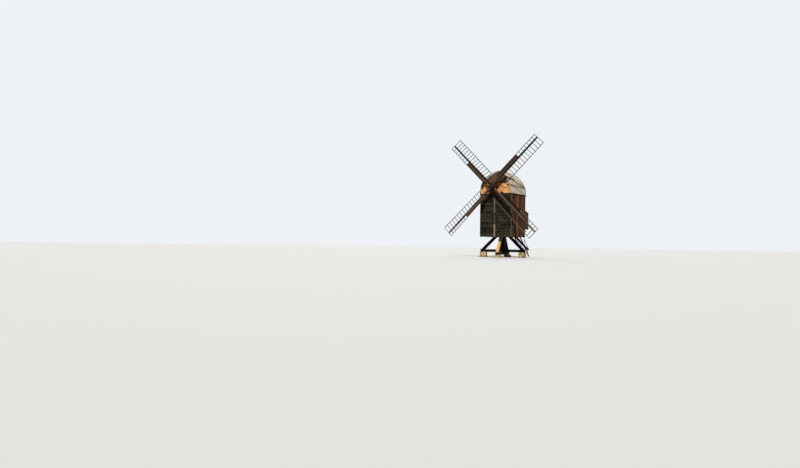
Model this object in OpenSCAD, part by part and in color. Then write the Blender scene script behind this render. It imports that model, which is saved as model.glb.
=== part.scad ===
// Post mill: a boarded timber body that turns on one upright post, with four twisted lattice sails.
// Millimetres. Z is up, the sails face -Y. The post stands at y = post_y, so that the frame's origin
// is the middle of the whole mill's outline on the ground.

/* [Trestle] */
// Turn of the trestle under the body, in degrees
trestle_turn = 10; // [0:1:45]
// Distance from the post's axis to the middle of each pier
pier_radius = 3000; // [2600:10:3400]
// Side of a square pier
pier_size = 950; // [700:10:1200]
// Height of the front and rear piers
low_pier_height = 400; // [200:10:600]
// Half the length of a cross-tree
cross_tree_reach = 3450; // [3000:10:3600]
// Width of a cross-tree
cross_tree_width = 400; // [280:10:450]
// Height of a cross-tree
cross_tree_height = 400; // [300:10:450]
// Side of the square foot of the main post
post_square = 720; // [600:10:800]
// Radius of the round part of the main post
post_round = 340; // [280:5:350]
// Width of a quarter bar
quarter_bar_width = 380; // [260:10:450]
// Depth of a quarter bar, square to its length
quarter_bar_depth = 430; // [300:10:480]
// Distance from the post's axis to the outer edge of a quarter bar's foot
quarter_bar_foot = 3350; // [3000:10:3400]
// Radius of the pintle on top of the post
pintle_radius = 120; // [80:5:150]
// Height of the pintle
pintle_height = 250; // [150:10:400]
// Side of the square collar above the quarter bars
collar_size = 1250; // [1000:10:1500]
// Thickness of the collar
collar_thickness = 150; // [80:10:200]

/* [Body] */
// Width of the body over the boards
body_width = 5000; // [4400:10:5600]
// Depth of the body over the boards
body_depth = 5350; // [4800:10:6000]
// Height of the underside of the sills above the ground
sill_low = 4360; // [4200:10:4700]
// Height of a sill
sill_height = 340; // [200:10:400]
// Width of a sill
sill_width = 260; // [180:10:320]
// Height of the lower edge of the wall boards, which hang round the head of the trestle
boards_low = 3100; // [2950:10:3500]
// Side of a timber in the light frame that holds the boards below the sills
skirt_timber = 120; // [80:5:160]
// Height of the eaves above the ground
eaves_height = 9550; // [8800:10:10000]
// Thickness of the wall boards
board_thickness = 30; // [20:1:50]
// Side of a wall post
wall_post = 200; // [140:10:240]
// Thickness of the floor boards
floor_thickness = 40; // [30:1:60]
// Gap between two sheers and the round post
sheer_clearance = 40; // [20:5:80]
// Width of a sheer beam
sheer_width = 300; // [200:10:350]
// Height of the underside of the crown tree above the ground
crown_tree_low = 6900; // [6400:10:7200]
// Height and width of the crown tree
crown_tree_size = 600; // [450:10:700]
// Height of a side girt
side_girt_height = 300; // [200:10:400]
// Height of a top plate
top_plate_height = 240; // [180:10:300]
// Depth of the beam that carries the windshaft's neck
breast_beam_depth = 400; // [300:10:500]
// Length of the neck's bearing block
neck_block_length = 280; // [200:10:400]
// Depth of the beam that carries the windshaft's tail
tail_beam_depth = 260; // [200:10:340]
// Length of the tail's bearing block
tail_block_length = 200; // [150:10:300]
// Thickness of a bearing block beside and below its bore
bearing_wall = 110; // [80:5:160]
// Left edge of the pale centre board from the middle of the front
centre_board_left = -280; // [-600:5:0]
// Width of the pale centre board
centre_board_width = 330; // [200:5:450]
// How far the centre board stands out of the front
centre_board_proud = 40; // [10:1:60]
// Width of the small side hatch
hatch_width = 450; // [300:10:600]
// Height of the small side hatch
hatch_height = 400; // [300:10:500]
// Distance from the front to the nearer edge of the side hatch
hatch_back = 700; // [500:10:1200]
// Distance from the eaves down to the top of the side hatch
hatch_drop = 350; // [320:10:800]
// Width of the rear doorway
door_width = 900; // [750:10:1100]
// Height of the rear doorway
door_height = 1950; // [1800:10:2100]

/* [Roof] */
// Radius of the outer face of each curved roof side
roof_radius = 3690; // [3500:10:3900]
// Distance of each arc's centre beyond the middle line
roof_centre = 1170; // [1000:10:1300]
// Thickness of the boarded and shingled roof shell
roof_thickness = 100; // [60:5:140]
// Overhang of the roof in front and behind
roof_overhang = 120; // [60:5:250]
// Height of the upright part of the front gable
gable_upright = 1600; // [1200:10:2200]
// How far the leaning gable top is set back at the ridge
gable_set_back = 1100; // [600:10:1600]
// Depth of a roof arch, from its outer to its inner edge
arch_depth = 180; // [120:5:240]
// Thickness of a roof arch
arch_thickness = 80; // [50:5:120]
// Width of the ridge cap on each side
ridge_cap_width = 190; // [120:5:300]
// Thickness of the ridge cap
ridge_cap_thickness = 30; // [20:1:50]

/* [Gallery] */
// How far the rear gallery stands out behind the body
gallery_depth = 1250; // [1100:10:1600]
// Height of the gallery roof where it meets the rear wall
gallery_roof_high = 7150; // [7000:10:7600]
// Drop of the gallery roof to its outer edge
gallery_roof_drop = 450; // [300:10:500]
// Overhang of the gallery roof
gallery_roof_overhang = 150; // [40:5:200]
// Thickness of the gallery roof
gallery_roof_thickness = 60; // [40:5:100]
// Side of a gallery post
gallery_post = 120; // [90:5:160]
// Height of the gallery rail above the floor
gallery_rail_height = 1000; // [900:10:1150]
// Lower edge of the boards over the stair opening, above the floor
gallery_apron_height = 1800; // [1700:10:1850]

/* [Stair and tail pole] */
// Half the clear width between the stair strings
stair_half_width = 440; // [350:10:500]
// Thickness of a stair string
string_thickness = 60; // [40:5:80]
// Depth of a stair string, square to its length
string_depth = 240; // [180:10:300]
// Number of treads
tread_count = 20; // [14:1:24]
// Thickness of a tread
tread_thickness = 40; // [30:1:60]
// Depth of a tread
tread_depth = 230; // [180:5:300]
// Gap between the stair's foot and the ground
stair_ground_gap = 60; // [20:5:150]
// Reach of the stair behind the gallery
stair_reach = 5400; // [4600:10:5600]
// Height of the stair rail above the string
rail_height = 800; // [600:10:1000]
// Side of a stair rail post
rail_post = 70; // [50:5:90]
// Side of the tail pole
tail_pole_size = 270; // [200:10:320]
// Distance from the post's axis to the tail pole's end
tail_pole_reach = 9900; // [9700:10:10200]
// Slope of the tail pole, in degrees
tail_pole_slope = 22; // [16:0.1:24]

/* [Sails] */
// Distance from the front of the body to the middle of the sail cross
hub_forward = 1120; // [1000:10:1500]
// Height of the middle of the sail cross above the eaves
hub_above_eaves = 900; // [600:10:1200]
// Tilt of the windshaft, in degrees
shaft_tilt = 6; // [3:0.5:10]
// Turn of the sail cross at rest, in degrees
sail_angle = 45.7; // [0:0.1:90]
// Length of a sail from the middle of the cross
sail_length = 9650; // [8500:10:9800]
// Width of the wide trailing lattice
wide_side = 1280; // [1000:10:1500]
// Width of the narrow leading side
narrow_side = 640; // [450:10:800]
// Number of rungs on a sail
rung_count = 15; // [10:1:18]
// Distance from the cross's middle to the first rung
first_rung = 1930; // [1600:10:2400]
// Width of a rung along the sail
rung_width = 60; // [40:2:80]
// Thickness of a rung
rung_thickness = 40; // [30:2:60]
// Width of the outer rails of the lattice
rail_width = 60; // [40:2:80]
// Twist of the sail at its first rung, in degrees
twist_root = 20; // [10:1:26]
// Twist of the sail at its tip, in degrees
twist_tip = 6; // [0:1:10]
// Width of a stock in the middle
stock_width = 330; // [260:10:400]
// Depth of a stock in the middle
stock_depth = 300; // [240:10:360]
// Width of a stock at its tip
stock_tip_width = 210; // [120:5:240]
// Depth of a stock at its tip
stock_tip_depth = 160; // [100:5:200]
// Distance between the two stocks along the windshaft
stock_spacing = 400; // [380:10:500]
// Side of the square head of the windshaft
poll_size = 680; // [560:10:760]
// Length of the head in front of the middle of the cross
poll_front = 460; // [400:10:600]
// Length of the head behind the middle of the cross
poll_back = 480; // [400:10:560]
// Radius of the windshaft at its neck
neck_radius = 250; // [200:5:280]
// Radius of the windshaft behind its neck
shaft_radius = 290; // [240:5:320]
// Radius of the tail journal
journal_radius = 90; // [60:5:120]
// Thickness of the wind boards
wind_board_thickness = 24; // [15:1:40]

/* [Fits] */
// Gap between pieces that are seated on each other
seat_gap = 0.3; // [0.1:0.1:0.8]
// Radial clearance of the pintle in the crown tree
pintle_clearance = 0.1; // [0.02:0.01:0.2]
// Radial clearance of the windshaft in its bearings
shaft_clearance = 0.1; // [0.02:0.01:0.2]

/* [Hidden] */
$fn = 96;
roof_segments = 256;
big = 30000;
half_width = body_width / 2;
half_depth = body_depth / 2;
frame_x = half_width - board_thickness;
frame_y = half_depth - board_thickness;
floor_low = sill_low + sill_height;
floor_top = floor_low + floor_thickness;
plate_low = eaves_height - top_plate_height;
girt_low = crown_tree_low - side_girt_height;
crown_tree_top = crown_tree_low + crown_tree_size;
upper_floor_top = crown_tree_top + floor_thickness;
lower_tree_top = low_pier_height + cross_tree_height;
upper_tree_top = lower_tree_top + cross_tree_height;
collar_gap = 25;
seat_play = 5;
collar_top = sill_low - collar_gap;
collar_low = collar_top - collar_thickness;
quarter_bar_head = collar_low - seat_play;
roof_inner = roof_radius - roof_thickness;
ridge_rise = sqrt(roof_radius * roof_radius - roof_centre * roof_centre);
gable_lean = atan(gable_set_back / (ridge_rise - gable_upright));
gable_top_y = -half_depth + gable_set_back;
hub_y = -half_depth - hub_forward;
hub_height = eaves_height + hub_above_eaves;
rung_pitch = (sail_length - rung_width / 2 - first_rung) / (rung_count - 1);
boarded_rungs = floor(rung_count / 2);
front_reach = (sail_length * sin(sail_angle) + narrow_side * cos(sail_angle)) * sin(shaft_tilt)
    + (stock_spacing / 2 + narrow_side * sin(twist_tip)) * cos(shaft_tilt) - hub_y;
post_y = (front_reach - tail_pole_reach) / 2;
neck_y = -frame_y + breast_beam_depth / 2;
arch_count = 6;
arch_gap = (body_depth - 2 * board_thickness - arch_thickness) / (arch_count - 1);
tail_bearing_y = -frame_y + 3.5 * arch_gap + arch_thickness / 2;
stair_top_y = half_depth + gallery_depth;
stair_foot_y = stair_top_y + stair_reach;
stair_slope = atan((floor_low - stair_ground_gap) / stair_reach);

// Everything is drawn about the post's axis and then moved to the frame
module at_post() {
    translate([0, post_y, 0])
        children();
}

// The trestle stands turned under the body
module at_trestle() {
    at_post()
        rotate([0, 0, trestle_turn])
            children();
}

// A box from its low corner to its high corner
module box(low, high) {
    translate(low)
        cube(high - low);
}

// The same piece on the right and mirrored on the left
module both_sides() {
    children();
    mirror([1, 0, 0])
        children();
}

// Trestle

// Four sandstone piers: the two that carry the upper cross-tree are higher
module piers() {
    color("#aa8c64")
        at_trestle() {
            for (end = [-1, 1]) {
                translate([-pier_size / 2, end * pier_radius - pier_size / 2, 0])
                    cube([pier_size, pier_size, low_pier_height]);
                translate([end * pier_radius - pier_size / 2, -pier_size / 2, 0])
                    cube([pier_size, pier_size, lower_tree_top]);
            }
        }
}

module lower_cross_tree() {
    color("#2a2118")
        at_trestle()
            box([-cross_tree_width / 2, -cross_tree_reach, low_pier_height],
                [cross_tree_width / 2, cross_tree_reach, lower_tree_top]);
}

module upper_cross_tree() {
    color("#2a2118")
        at_trestle()
            box([-cross_tree_reach, -cross_tree_width / 2, lower_tree_top],
                [cross_tree_reach, cross_tree_width / 2, upper_tree_top]);
}

// Square at the quarter bars, round inside the body, with a pintle for the crown tree
module main_post() {
    color("#1c1712")
        at_trestle() {
            box([-post_square / 2, -post_square / 2, upper_tree_top],
                [post_square / 2, post_square / 2, collar_top]);
            translate([0, 0, collar_top])
                cylinder(h = crown_tree_low - seat_gap - collar_top, r = post_round);
            translate([0, 0, crown_tree_low - seat_gap])
                cylinder(h = pintle_height, r = pintle_radius);
        }
}

// One quarter bar towards +X: foot cut level on its cross-tree, head cut upright on the post
module quarter_bar(foot_height) {
    run = quarter_bar_foot - post_square / 2;
    rise = quarter_bar_head - foot_height;
    slope = atan(rise / run);
    rotate([90, 0, 0])
        linear_extrude(height = quarter_bar_width, center = true)
            polygon([
                [quarter_bar_foot, foot_height],
                [post_square / 2, quarter_bar_head],
                [post_square / 2, quarter_bar_head - quarter_bar_depth / cos(slope)],
                [quarter_bar_foot - quarter_bar_depth / sin(slope), foot_height]]);
}

module quarter_bars() {
    color("#1a130c")
        at_trestle() {
            quarter_bar(upper_tree_top);
            rotate([0, 0, 180])
                quarter_bar(upper_tree_top);
            rotate([0, 0, 90])
                quarter_bar(lower_tree_top);
        }
}

// The front bar is a replacement in fresh timber
module new_quarter_bar() {
    color("#ddad69")
        at_trestle()
            rotate([0, 0, -90])
                quarter_bar(lower_tree_top);
}

module post_collar() {
    color("#1a130c")
        at_trestle()
            difference() {
                box([-collar_size / 2, -collar_size / 2, collar_low],
                    [collar_size / 2, collar_size / 2, collar_top]);
                box([-post_square / 2, -post_square / 2, collar_low - 1],
                    [post_square / 2, post_square / 2, collar_top + 1]);
            }
}

// Body frame

// Two long beams beside the post with cross pieces round it and one for the tail pole's head
sheer_inner = post_round + sheer_clearance;
sheer_end = frame_y - sill_width;
pole_head_length = 650;
pole_head_y = sheer_end - pole_head_length;
module sheers() {
    color("#2a2118")
        at_post() {
            both_sides()
                box([sheer_inner, -sheer_end, sill_low],
                    [sheer_inner + sheer_width, sheer_end, floor_low]);
            for (y = [-sheer_inner - sheer_width, sheer_inner, pole_head_y - sheer_width])
                box([-sheer_inner - 1, y, sill_low],
                    [sheer_inner + 1, y + sheer_width, floor_low]);
        }
}

// Places of the side posts and of the timbers that hang below them
stud_share = 0.36;
stud_y = frame_y * stud_share;

// A level ring of four beams
module beam_ring(low, high, width) {
    difference() {
        box([-frame_x, -frame_y, low], [frame_x, frame_y, high]);
        box([-frame_x + width, -frame_y + width, low - 1],
            [frame_x - width, frame_y - width, high + 1]);
    }
}

// A short timber that hangs from the sills to the lower rail, with its corner at a place
module skirt_hanger(x, y) {
    box([x, y, boards_low], [x + skirt_timber, y + skirt_timber, sill_low + 1]);
}

// The sills under the floor, and below them the light frame that the boards hang on
module sills() {
    middle = centre_board_left + centre_board_width / 2 - skirt_timber / 2;
    color("#1c1712")
        at_post() {
            beam_ring(sill_low, floor_low, sill_width);
            beam_ring(boards_low, boards_low + skirt_timber, skirt_timber);
            both_sides()
                for (y = [-frame_y, -stud_y, stud_y - skirt_timber, frame_y - skirt_timber])
                    skirt_hanger(frame_x - skirt_timber, y);
            skirt_hanger(middle, -frame_y);
            for (x = [-door_width, door_width - skirt_timber])
                skirt_hanger(x, frame_y - skirt_timber);
        }
}

module top_plates() {
    color("#3a2e22")
        at_post()
            beam_ring(plate_low, eaves_height, top_plate_height);
}

// Floor boards between the wall posts, open round the post
floor_hole = post_round + sheer_clearance + 10;
module lower_floor() {
    color("#6b5540")
        at_post()
            difference() {
                box([-frame_x + wall_post, -frame_y + wall_post, floor_low],
                    [frame_x - wall_post, frame_y - wall_post, floor_top]);
                translate([0, 0, floor_low - 1])
                    cylinder(h = floor_thickness + 2, r = floor_hole);
            }
}

module upper_floor() {
    color("#6b5540")
        at_post()
            box([-frame_x + wall_post, -frame_y + wall_post, crown_tree_top],
                [frame_x - wall_post, frame_y - wall_post, upper_floor_top]);
}

// Corner posts full height, side posts broken by the girts, and door posts behind
module wall_posts() {
    color("#3a2e22")
        at_post() {
            both_sides() {
                for (y = [-frame_y, frame_y - wall_post])
                    box([frame_x - wall_post, y, floor_low],
                        [frame_x, y + wall_post, plate_low]);
                for (y = [-stud_y, stud_y]) {
                    box([frame_x - wall_post, y - wall_post / 2, floor_low],
                        [frame_x, y + wall_post / 2, girt_low]);
                    box([frame_x - wall_post, y - wall_post / 2, crown_tree_low],
                        [frame_x, y + wall_post / 2, plate_low]);
                }
                box([door_width / 2 - board_thickness, frame_y - wall_post, floor_low],
                    [door_width / 2 - board_thickness + wall_post, frame_y, plate_low]);
            }
            box([centre_board_left + centre_board_width / 2 - wall_post / 2, -frame_y, floor_low],
                [centre_board_left + centre_board_width / 2 + wall_post / 2, -frame_y + wall_post,
                    plate_low]);
        }
}

// Long beams in both sides that hang the body from the crown tree
module side_girts() {
    color("#3a2e22")
        at_post()
            both_sides()
                box([frame_x - wall_post, -frame_y + wall_post, girt_low],
                    [frame_x, frame_y - wall_post, crown_tree_low]);
}

// The pintle's hole goes a little deeper than the pintle
pintle_room = 20;
module crown_tree() {
    color("#33281d")
        at_post()
            difference() {
                box([-frame_x, -crown_tree_size / 2, crown_tree_low],
                    [frame_x, crown_tree_size / 2, crown_tree_top]);
                translate([0, 0, crown_tree_low - 1])
                    cylinder(h = pintle_height + pintle_room + 1, r = pintle_radius + pintle_clearance);
            }
}

// Roof

// One curved roof side as a flat outline: x across, y up from the eaves
module roof_arc(outer, inner) {
    intersection() {
        translate([-roof_centre, 0])
            difference() {
                circle(r = outer, $fn = roof_segments);
                circle(r = inner, $fn = roof_segments);
            }
        square([roof_radius, roof_radius]);
    }
}

// The space under the pointed roof down to the eaves
module roof_space(radius) {
    intersection() {
        translate([-roof_centre, 0])
            circle(r = radius, $fn = roof_segments);
        translate([roof_centre, 0])
            circle(r = radius, $fn = roof_segments);
        translate([-roof_radius, 0])
            square([2 * roof_radius, roof_radius]);
    }
}

// An outline drawn at the eaves and stretched from one depth to another
module along_ridge(from, to) {
    translate([0, to, eaves_height])
        rotate([90, 0, 0])
            linear_extrude(height = to - from)
                children();
}

// What lies in front of the leaning gable plane, moved back by a distance square to it
module before_gable(back) {
    translate([0, -half_depth, eaves_height + gable_upright])
        rotate([-gable_lean, 0, 0])
            translate([-big / 2, -big, -big / 2])
                cube([big, big + back, big]);
}

module roof_side() {
    difference() {
        along_ridge(-half_depth - roof_overhang, half_depth + roof_overhang)
            roof_arc(roof_radius, roof_inner);
        intersection() {
            before_gable(-roof_overhang);
            box([-big / 2, -big / 2, eaves_height + gable_upright], [big / 2, big / 2, big]);
        }
    }
}

module roof_right() {
    color("#ad9e8d")
        at_post()
            roof_side();
}

module roof_left() {
    color("#ad9e8d")
        at_post()
            mirror([1, 0, 0])
                roof_side();
}

module ridge_cap() {
    color("#9a8b7a")
        at_post()
            difference() {
                along_ridge(-half_depth - roof_overhang, half_depth + roof_overhang)
                    intersection() {
                        both_sides()
                            roof_arc(roof_radius + ridge_cap_thickness, roof_radius);
                        translate([-ridge_cap_width, 0])
                            square([2 * ridge_cap_width, 2 * roof_radius]);
                    }
                before_gable(-roof_overhang);
            }
}

// Curved ribs under the roof shell
module roof_arches() {
    color("#4a3a2a")
        at_post()
            for (i = [0:arch_count - 1])
                difference() {
                    along_ridge(-frame_y + i * arch_gap, -frame_y + i * arch_gap + arch_thickness)
                        difference() {
                            roof_space(roof_inner);
                            roof_space(roof_inner - arch_depth);
                        }
                    before_gable(board_thickness);
                }
}

// The windshaft's line: drawn from the middle of the sail cross, backwards along +Y
module on_shaft() {
    translate([0, hub_y, hub_height])
        rotate([-shaft_tilt, 0, 0])
            children();
}

bearing_play = 20;
journal_spare = 80;
shaft_end = (tail_bearing_y - tail_beam_depth / 2 - bearing_play - hub_y) / cos(shaft_tilt);

// A round bar along the windshaft between two distances behind the cross
module shaft_bar(from, to, radius) {
    translate([0, to, 0])
        rotate([90, 0, 0])
            cylinder(h = to - from, r = radius);
}

// The beam that carries the neck, with its bearing block, kept off the arches beside it
arch_play = 15;
neck_to = (neck_y + neck_block_length / 2 - hub_y) / cos(shaft_tilt);
breast_top = hub_height - (neck_y - hub_y) * tan(shaft_tilt) - neck_radius - bearing_wall;
breast_half = sqrt(pow(roof_inner - arch_depth, 2) - pow(breast_top - eaves_height, 2))
    - roof_centre - arch_play;
module breast_beam() {
    color("#3a2e22")
        at_post()
            difference() {
                union() {
                    box([-breast_half, -frame_y, eaves_height],
                        [breast_half, -frame_y + breast_beam_depth, breast_top]);
                    box([-neck_radius - bearing_wall, neck_y - neck_block_length / 2,
                            breast_top - 1],
                        [neck_radius + bearing_wall, neck_y + neck_block_length / 2,
                            breast_top + neck_radius]);
                }
                on_shaft()
                    shaft_bar(0, neck_to + breast_beam_depth, neck_radius + shaft_clearance);
            }
}

// The beam that carries the tail journal, with its bearing block
tail_axis = hub_height - (tail_bearing_y - hub_y) * tan(shaft_tilt);
tail_beam_half = sqrt(pow(roof_inner, 2) - pow(tail_axis - eaves_height, 2)) - roof_centre
    - arch_play;
module tail_beam() {
    color("#3a2e22")
        at_post()
            difference() {
                union() {
                    box([-tail_beam_half, tail_bearing_y - tail_beam_depth / 2, eaves_height],
                        [tail_beam_half, tail_bearing_y + tail_beam_depth / 2,
                            tail_axis - journal_radius - bearing_wall / 2]);
                    box([-journal_radius - bearing_wall, tail_bearing_y - tail_block_length / 2,
                            tail_axis - journal_radius - bearing_wall / 2 - 1],
                        [journal_radius + bearing_wall, tail_bearing_y + tail_block_length / 2,
                            tail_axis + journal_radius / 3]);
                }
                on_shaft()
                    shaft_bar(shaft_end - tail_beam_depth, shaft_end + 2 * tail_beam_depth,
                        journal_radius + shaft_clearance);
            }
}

// Walls

module front_wall_left() {
    color("#352e25")
        at_post()
            box([-half_width, -half_depth, boards_low],
                [centre_board_left, -frame_y, eaves_height]);
}

module front_wall_right() {
    color("#352e25")
        at_post()
            box([centre_board_left + centre_board_width, -half_depth, boards_low],
                [half_width, -frame_y, eaves_height]);
}

module front_centre_board() {
    color("#78695c")
        at_post()
            box([centre_board_left, -half_depth - centre_board_proud, boards_low],
                [centre_board_left + centre_board_width, -frame_y, eaves_height]);
}

// A side wall with its small hatch
module side_wall() {
    difference() {
        box([frame_x, -frame_y, boards_low], [half_width, frame_y, eaves_height]);
        box([frame_x - 1, -half_depth + hatch_back, eaves_height - hatch_drop - hatch_height],
            [half_width + 1, -half_depth + hatch_back + hatch_width,
                eaves_height - hatch_drop]);
    }
}

module right_wall() {
    color("#4b3628")
        at_post()
            side_wall();
}

module left_wall() {
    color("#4b3628")
        at_post()
            mirror([1, 0, 0])
                side_wall();
}

// Above the gallery floor with the doorway, and below its beams with a hole for the tail pole
module rear_wall() {
    color("#4b3628")
        at_post()
            difference() {
                union() {
                    box([-half_width, frame_y, floor_top], [half_width, half_depth, eaves_height]);
                    box([-half_width, frame_y, boards_low], [half_width, half_depth, sill_low]);
                }
                box([-door_width / 2, frame_y - 1, floor_top - 1],
                    [door_width / 2, half_depth + 1, floor_top + door_height]);
                pole_bar(pole_play);
            }
}

// A plank door closed against the door posts
door_gap = 4;
door_proud = 15;
module rear_door() {
    color("#5a4636")
        at_post()
            box([-door_width / 2 + door_gap, frame_y, floor_top + door_gap],
                [door_width / 2 - door_gap, half_depth + door_proud,
                    floor_top + door_height - door_gap]);
}

// The upright gable in fresh boards, open for the windshaft and at one short board
neck_hole_gap = 40;
short_board_left = 780;
short_board_width = 160;
short_board_low = 80;
short_board_height = 170;
module gable_new_boards() {
    color("#d2915a")
        at_post()
            difference() {
                along_ridge(-half_depth, -frame_y)
                    intersection() {
                        roof_space(roof_inner);
                        translate([-roof_radius, 0])
                            square([2 * roof_radius, gable_upright]);
                    }
                on_shaft()
                    shaft_bar(0, neck_to, neck_radius + neck_hole_gap);
                box([short_board_left, -half_depth - 1, eaves_height + short_board_low],
                    [short_board_left + short_board_width, -frame_y + 1,
                        eaves_height + short_board_low + short_board_height]);
            }
}

// The leaning gable top in old boards
module gable_old_boards() {
    color("#6a4b3f")
        at_post()
            intersection() {
                along_ridge(-half_depth - 200, half_depth)
                    roof_space(roof_inner);
                difference() {
                    before_gable(board_thickness);
                    before_gable(0);
                }
                box([-big, -big, eaves_height + gable_upright], [big, big, big]);
            }
}

module rear_gable() {
    color("#4b3628")
        at_post()
            along_ridge(frame_y, half_depth)
                roof_space(roof_inner);
}

// Gallery

gallery_end = half_depth + gallery_depth;
gallery_slope = atan(gallery_roof_drop / (gallery_depth + gallery_roof_overhang));

// The space below the gallery roof, seen from the side and stretched across
module under_gallery_roof(half_span) {
    rotate([90, 0, 90])
        linear_extrude(height = 2 * half_span, center = true)
            polygon([
                [half_depth, 0],
                [gallery_end + gallery_roof_overhang, 0],
                [gallery_end + gallery_roof_overhang, gallery_roof_high - gallery_roof_drop],
                [half_depth, gallery_roof_high]]);
}

module gallery_floor() {
    color("#6b5540")
        at_post()
            box([-half_width, frame_y, floor_low], [half_width, gallery_end, floor_top]);
}

// Beams under the gallery floor, posts and rails
gallery_rail = 100;
gallery_rail_top = floor_top + gallery_rail_height;
module gallery_frame() {
    color("#3a2e22")
        at_post() {
            both_sides() {
                for (x = [sheer_inner, frame_x - wall_post])
                    box([x, frame_y, sill_low],
                        [x + wall_post, gallery_end - gallery_post, floor_low]);
                intersection() {
                    under_gallery_roof(frame_x);
                    union() {
                        box([frame_x - gallery_post, gallery_end - gallery_post, floor_top],
                            [frame_x, gallery_end - board_thickness, big]);
                        box([stair_half_width + string_thickness, gallery_end - gallery_post,
                                floor_top],
                            [stair_half_width + string_thickness + gallery_post,
                                gallery_end - board_thickness, big]);
                        box([stair_half_width + string_thickness + gallery_post - 1,
                                gallery_end - gallery_post, gallery_rail_top - gallery_rail],
                            [frame_x - gallery_post + 1, gallery_end - board_thickness,
                                gallery_rail_top]);
                        box([frame_x - gallery_post, half_depth, gallery_rail_top - gallery_rail],
                            [frame_x, gallery_end - gallery_post + 1, gallery_rail_top]);
                    }
                }
            }
            box([-half_width, gallery_end - gallery_post, sill_low],
                [half_width, gallery_end, floor_low]);
        }
}

// Boarded sides and the apron over the stair
module gallery_boards() {
    color("#4b3628")
        at_post()
            intersection() {
                under_gallery_roof(half_width);
                union() {
                    both_sides()
                        box([frame_x, half_depth, floor_top], [half_width, gallery_end, big]);
                    box([-half_width, gallery_end - board_thickness, floor_top + gallery_apron_height],
                        [half_width, gallery_end, big]);
                }
            }
}

gallery_roof_side = 60;
module gallery_roof() {
    color("#4a4038")
        at_post()
            difference() {
                translate([0, 0, gallery_roof_thickness])
                    under_gallery_roof(half_width + gallery_roof_side);
                under_gallery_roof(half_width + gallery_roof_side + 1);
            }
}

// Stair and tail pole

// A sloping bar beside the stair: heights are of its upper edge against the floor's underside
module stair_slope_bar(upper, depth, from, to) {
    rotate([90, 0, 90])
        linear_extrude(height = string_thickness)
            polygon([
                [from, floor_low + upper - (from - stair_top_y) * tan(stair_slope)],
                [from, floor_low + upper - (from - stair_top_y) * tan(stair_slope)
                    - depth / cos(stair_slope)],
                [to, floor_low + upper - (to - stair_top_y) * tan(stair_slope)
                    - depth / cos(stair_slope)],
                [to, floor_low + upper - (to - stair_top_y) * tan(stair_slope)]]);
}

module stair_strings() {
    color("#3a2e22")
        at_post()
            both_sides()
                intersection() {
                    translate([stair_half_width, 0, 0])
                        stair_slope_bar(floor_thickness, string_depth, stair_top_y,
                            stair_foot_y + string_depth);
                    box([-big, -big, stair_ground_gap], [big, big, big]);
                }
}

// The pole's outline seen from the side, made larger by a margin
pole_seat_y = frame_y - sill_width;
module pole_bar(margin) {
    fall = tan(tail_pole_slope);
    drop = tail_pole_size / cos(tail_pole_slope);
    top = sill_low - seat_gap + margin;
    translate([-tail_pole_size / 2 - margin, 0, 0])
        rotate([90, 0, 90])
            linear_extrude(height = tail_pole_size + 2 * margin)
                polygon([
                    [pole_head_y, top + (pole_seat_y - pole_head_y) * fall],
                    [pole_head_y, top + (pole_seat_y - pole_head_y) * fall - drop - 2 * margin],
                    [tail_pole_reach, top - (tail_pole_reach - pole_seat_y) * fall - drop
                        - 2 * margin],
                    [tail_pole_reach, top - (tail_pole_reach - pole_seat_y) * fall]]);
}

module tail_pole() {
    color("#33281d")
        at_post()
            pole_bar(0);
}

// Treads between the strings, cut where the tail pole passes through the stair
tread_seat = 20;
tread_front = 0.4;
pole_play = 20;
module stair_treads() {
    color("#5a4636")
        at_post()
            difference() {
                for (i = [1:tread_count]) {
                    y = stair_top_y + i * stair_reach / (tread_count + 1);
                    z = floor_low + floor_thickness - (y - stair_top_y) * tan(stair_slope)
                        - tread_seat;
                    box([-stair_half_width, y - tread_depth * tread_front, z - tread_thickness],
                        [stair_half_width, y + tread_depth * (1 - tread_front), z]);
                }
                pole_bar(pole_play);
            }
}

// Each handrail stands on three short posts beside the string
rail_post_at = [0.05, 0.31, 0.58, 0.84];
rail_post_foot = 200;
rail_over_post = 90;
rail_short = 350;
module stair_rails() {
    color("#3a2e22")
        at_post()
            both_sides()
                translate([stair_half_width + string_thickness, 0, 0]) {
                    stair_slope_bar(rail_height + rail_over_post, rail_post, stair_top_y + 10,
                        stair_foot_y - rail_short);
                    for (t = rail_post_at) {
                        y = stair_top_y + t * stair_reach;
                        z = floor_low - (y - stair_top_y) * tan(stair_slope);
                        box([0, y - rail_post / 2, z - rail_post_foot],
                            [string_thickness, y + rail_post / 2, z + rail_height]);
                    }
                }
}

// Windshaft and sails

module windshaft() {
    color("#3a2e22")
        at_post()
            on_shaft()
                difference() {
                    union() {
                        rotate([0, -sail_angle, 0])
                            box([-poll_size / 2, -poll_front, -poll_size / 2],
                                [poll_size / 2, poll_back, poll_size / 2]);
                        shaft_bar(poll_back - 1, neck_to + bearing_wall, neck_radius);
                        shaft_bar(neck_to + bearing_wall, shaft_end, shaft_radius);
                        shaft_bar(shaft_end - 1, shaft_end + tail_beam_depth + journal_spare, journal_radius);
                    }
                    stock_place(0)
                        stock_bar(seat_gap);
                    stock_place(1)
                        stock_bar(seat_gap);
                }
}

// The outer stock crosses in front of the inner one
module stock_place(inner) {
    translate([0, (inner - 0.5) * stock_spacing, 0])
        rotate([0, -sail_angle - inner * 90, 0])
            children();
}

// A stock along X, tapered from the middle to both tips, made larger by a margin
module stock_taper(middle, tip, margin) {
    polygon([
        [-sail_length, -tip / 2 - margin],
        [-poll_size / 2, -middle / 2 - margin],
        [poll_size / 2, -middle / 2 - margin],
        [sail_length, -tip / 2 - margin],
        [sail_length, tip / 2 + margin],
        [poll_size / 2, middle / 2 + margin],
        [-poll_size / 2, middle / 2 + margin],
        [-sail_length, tip / 2 + margin]]);
}

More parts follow.
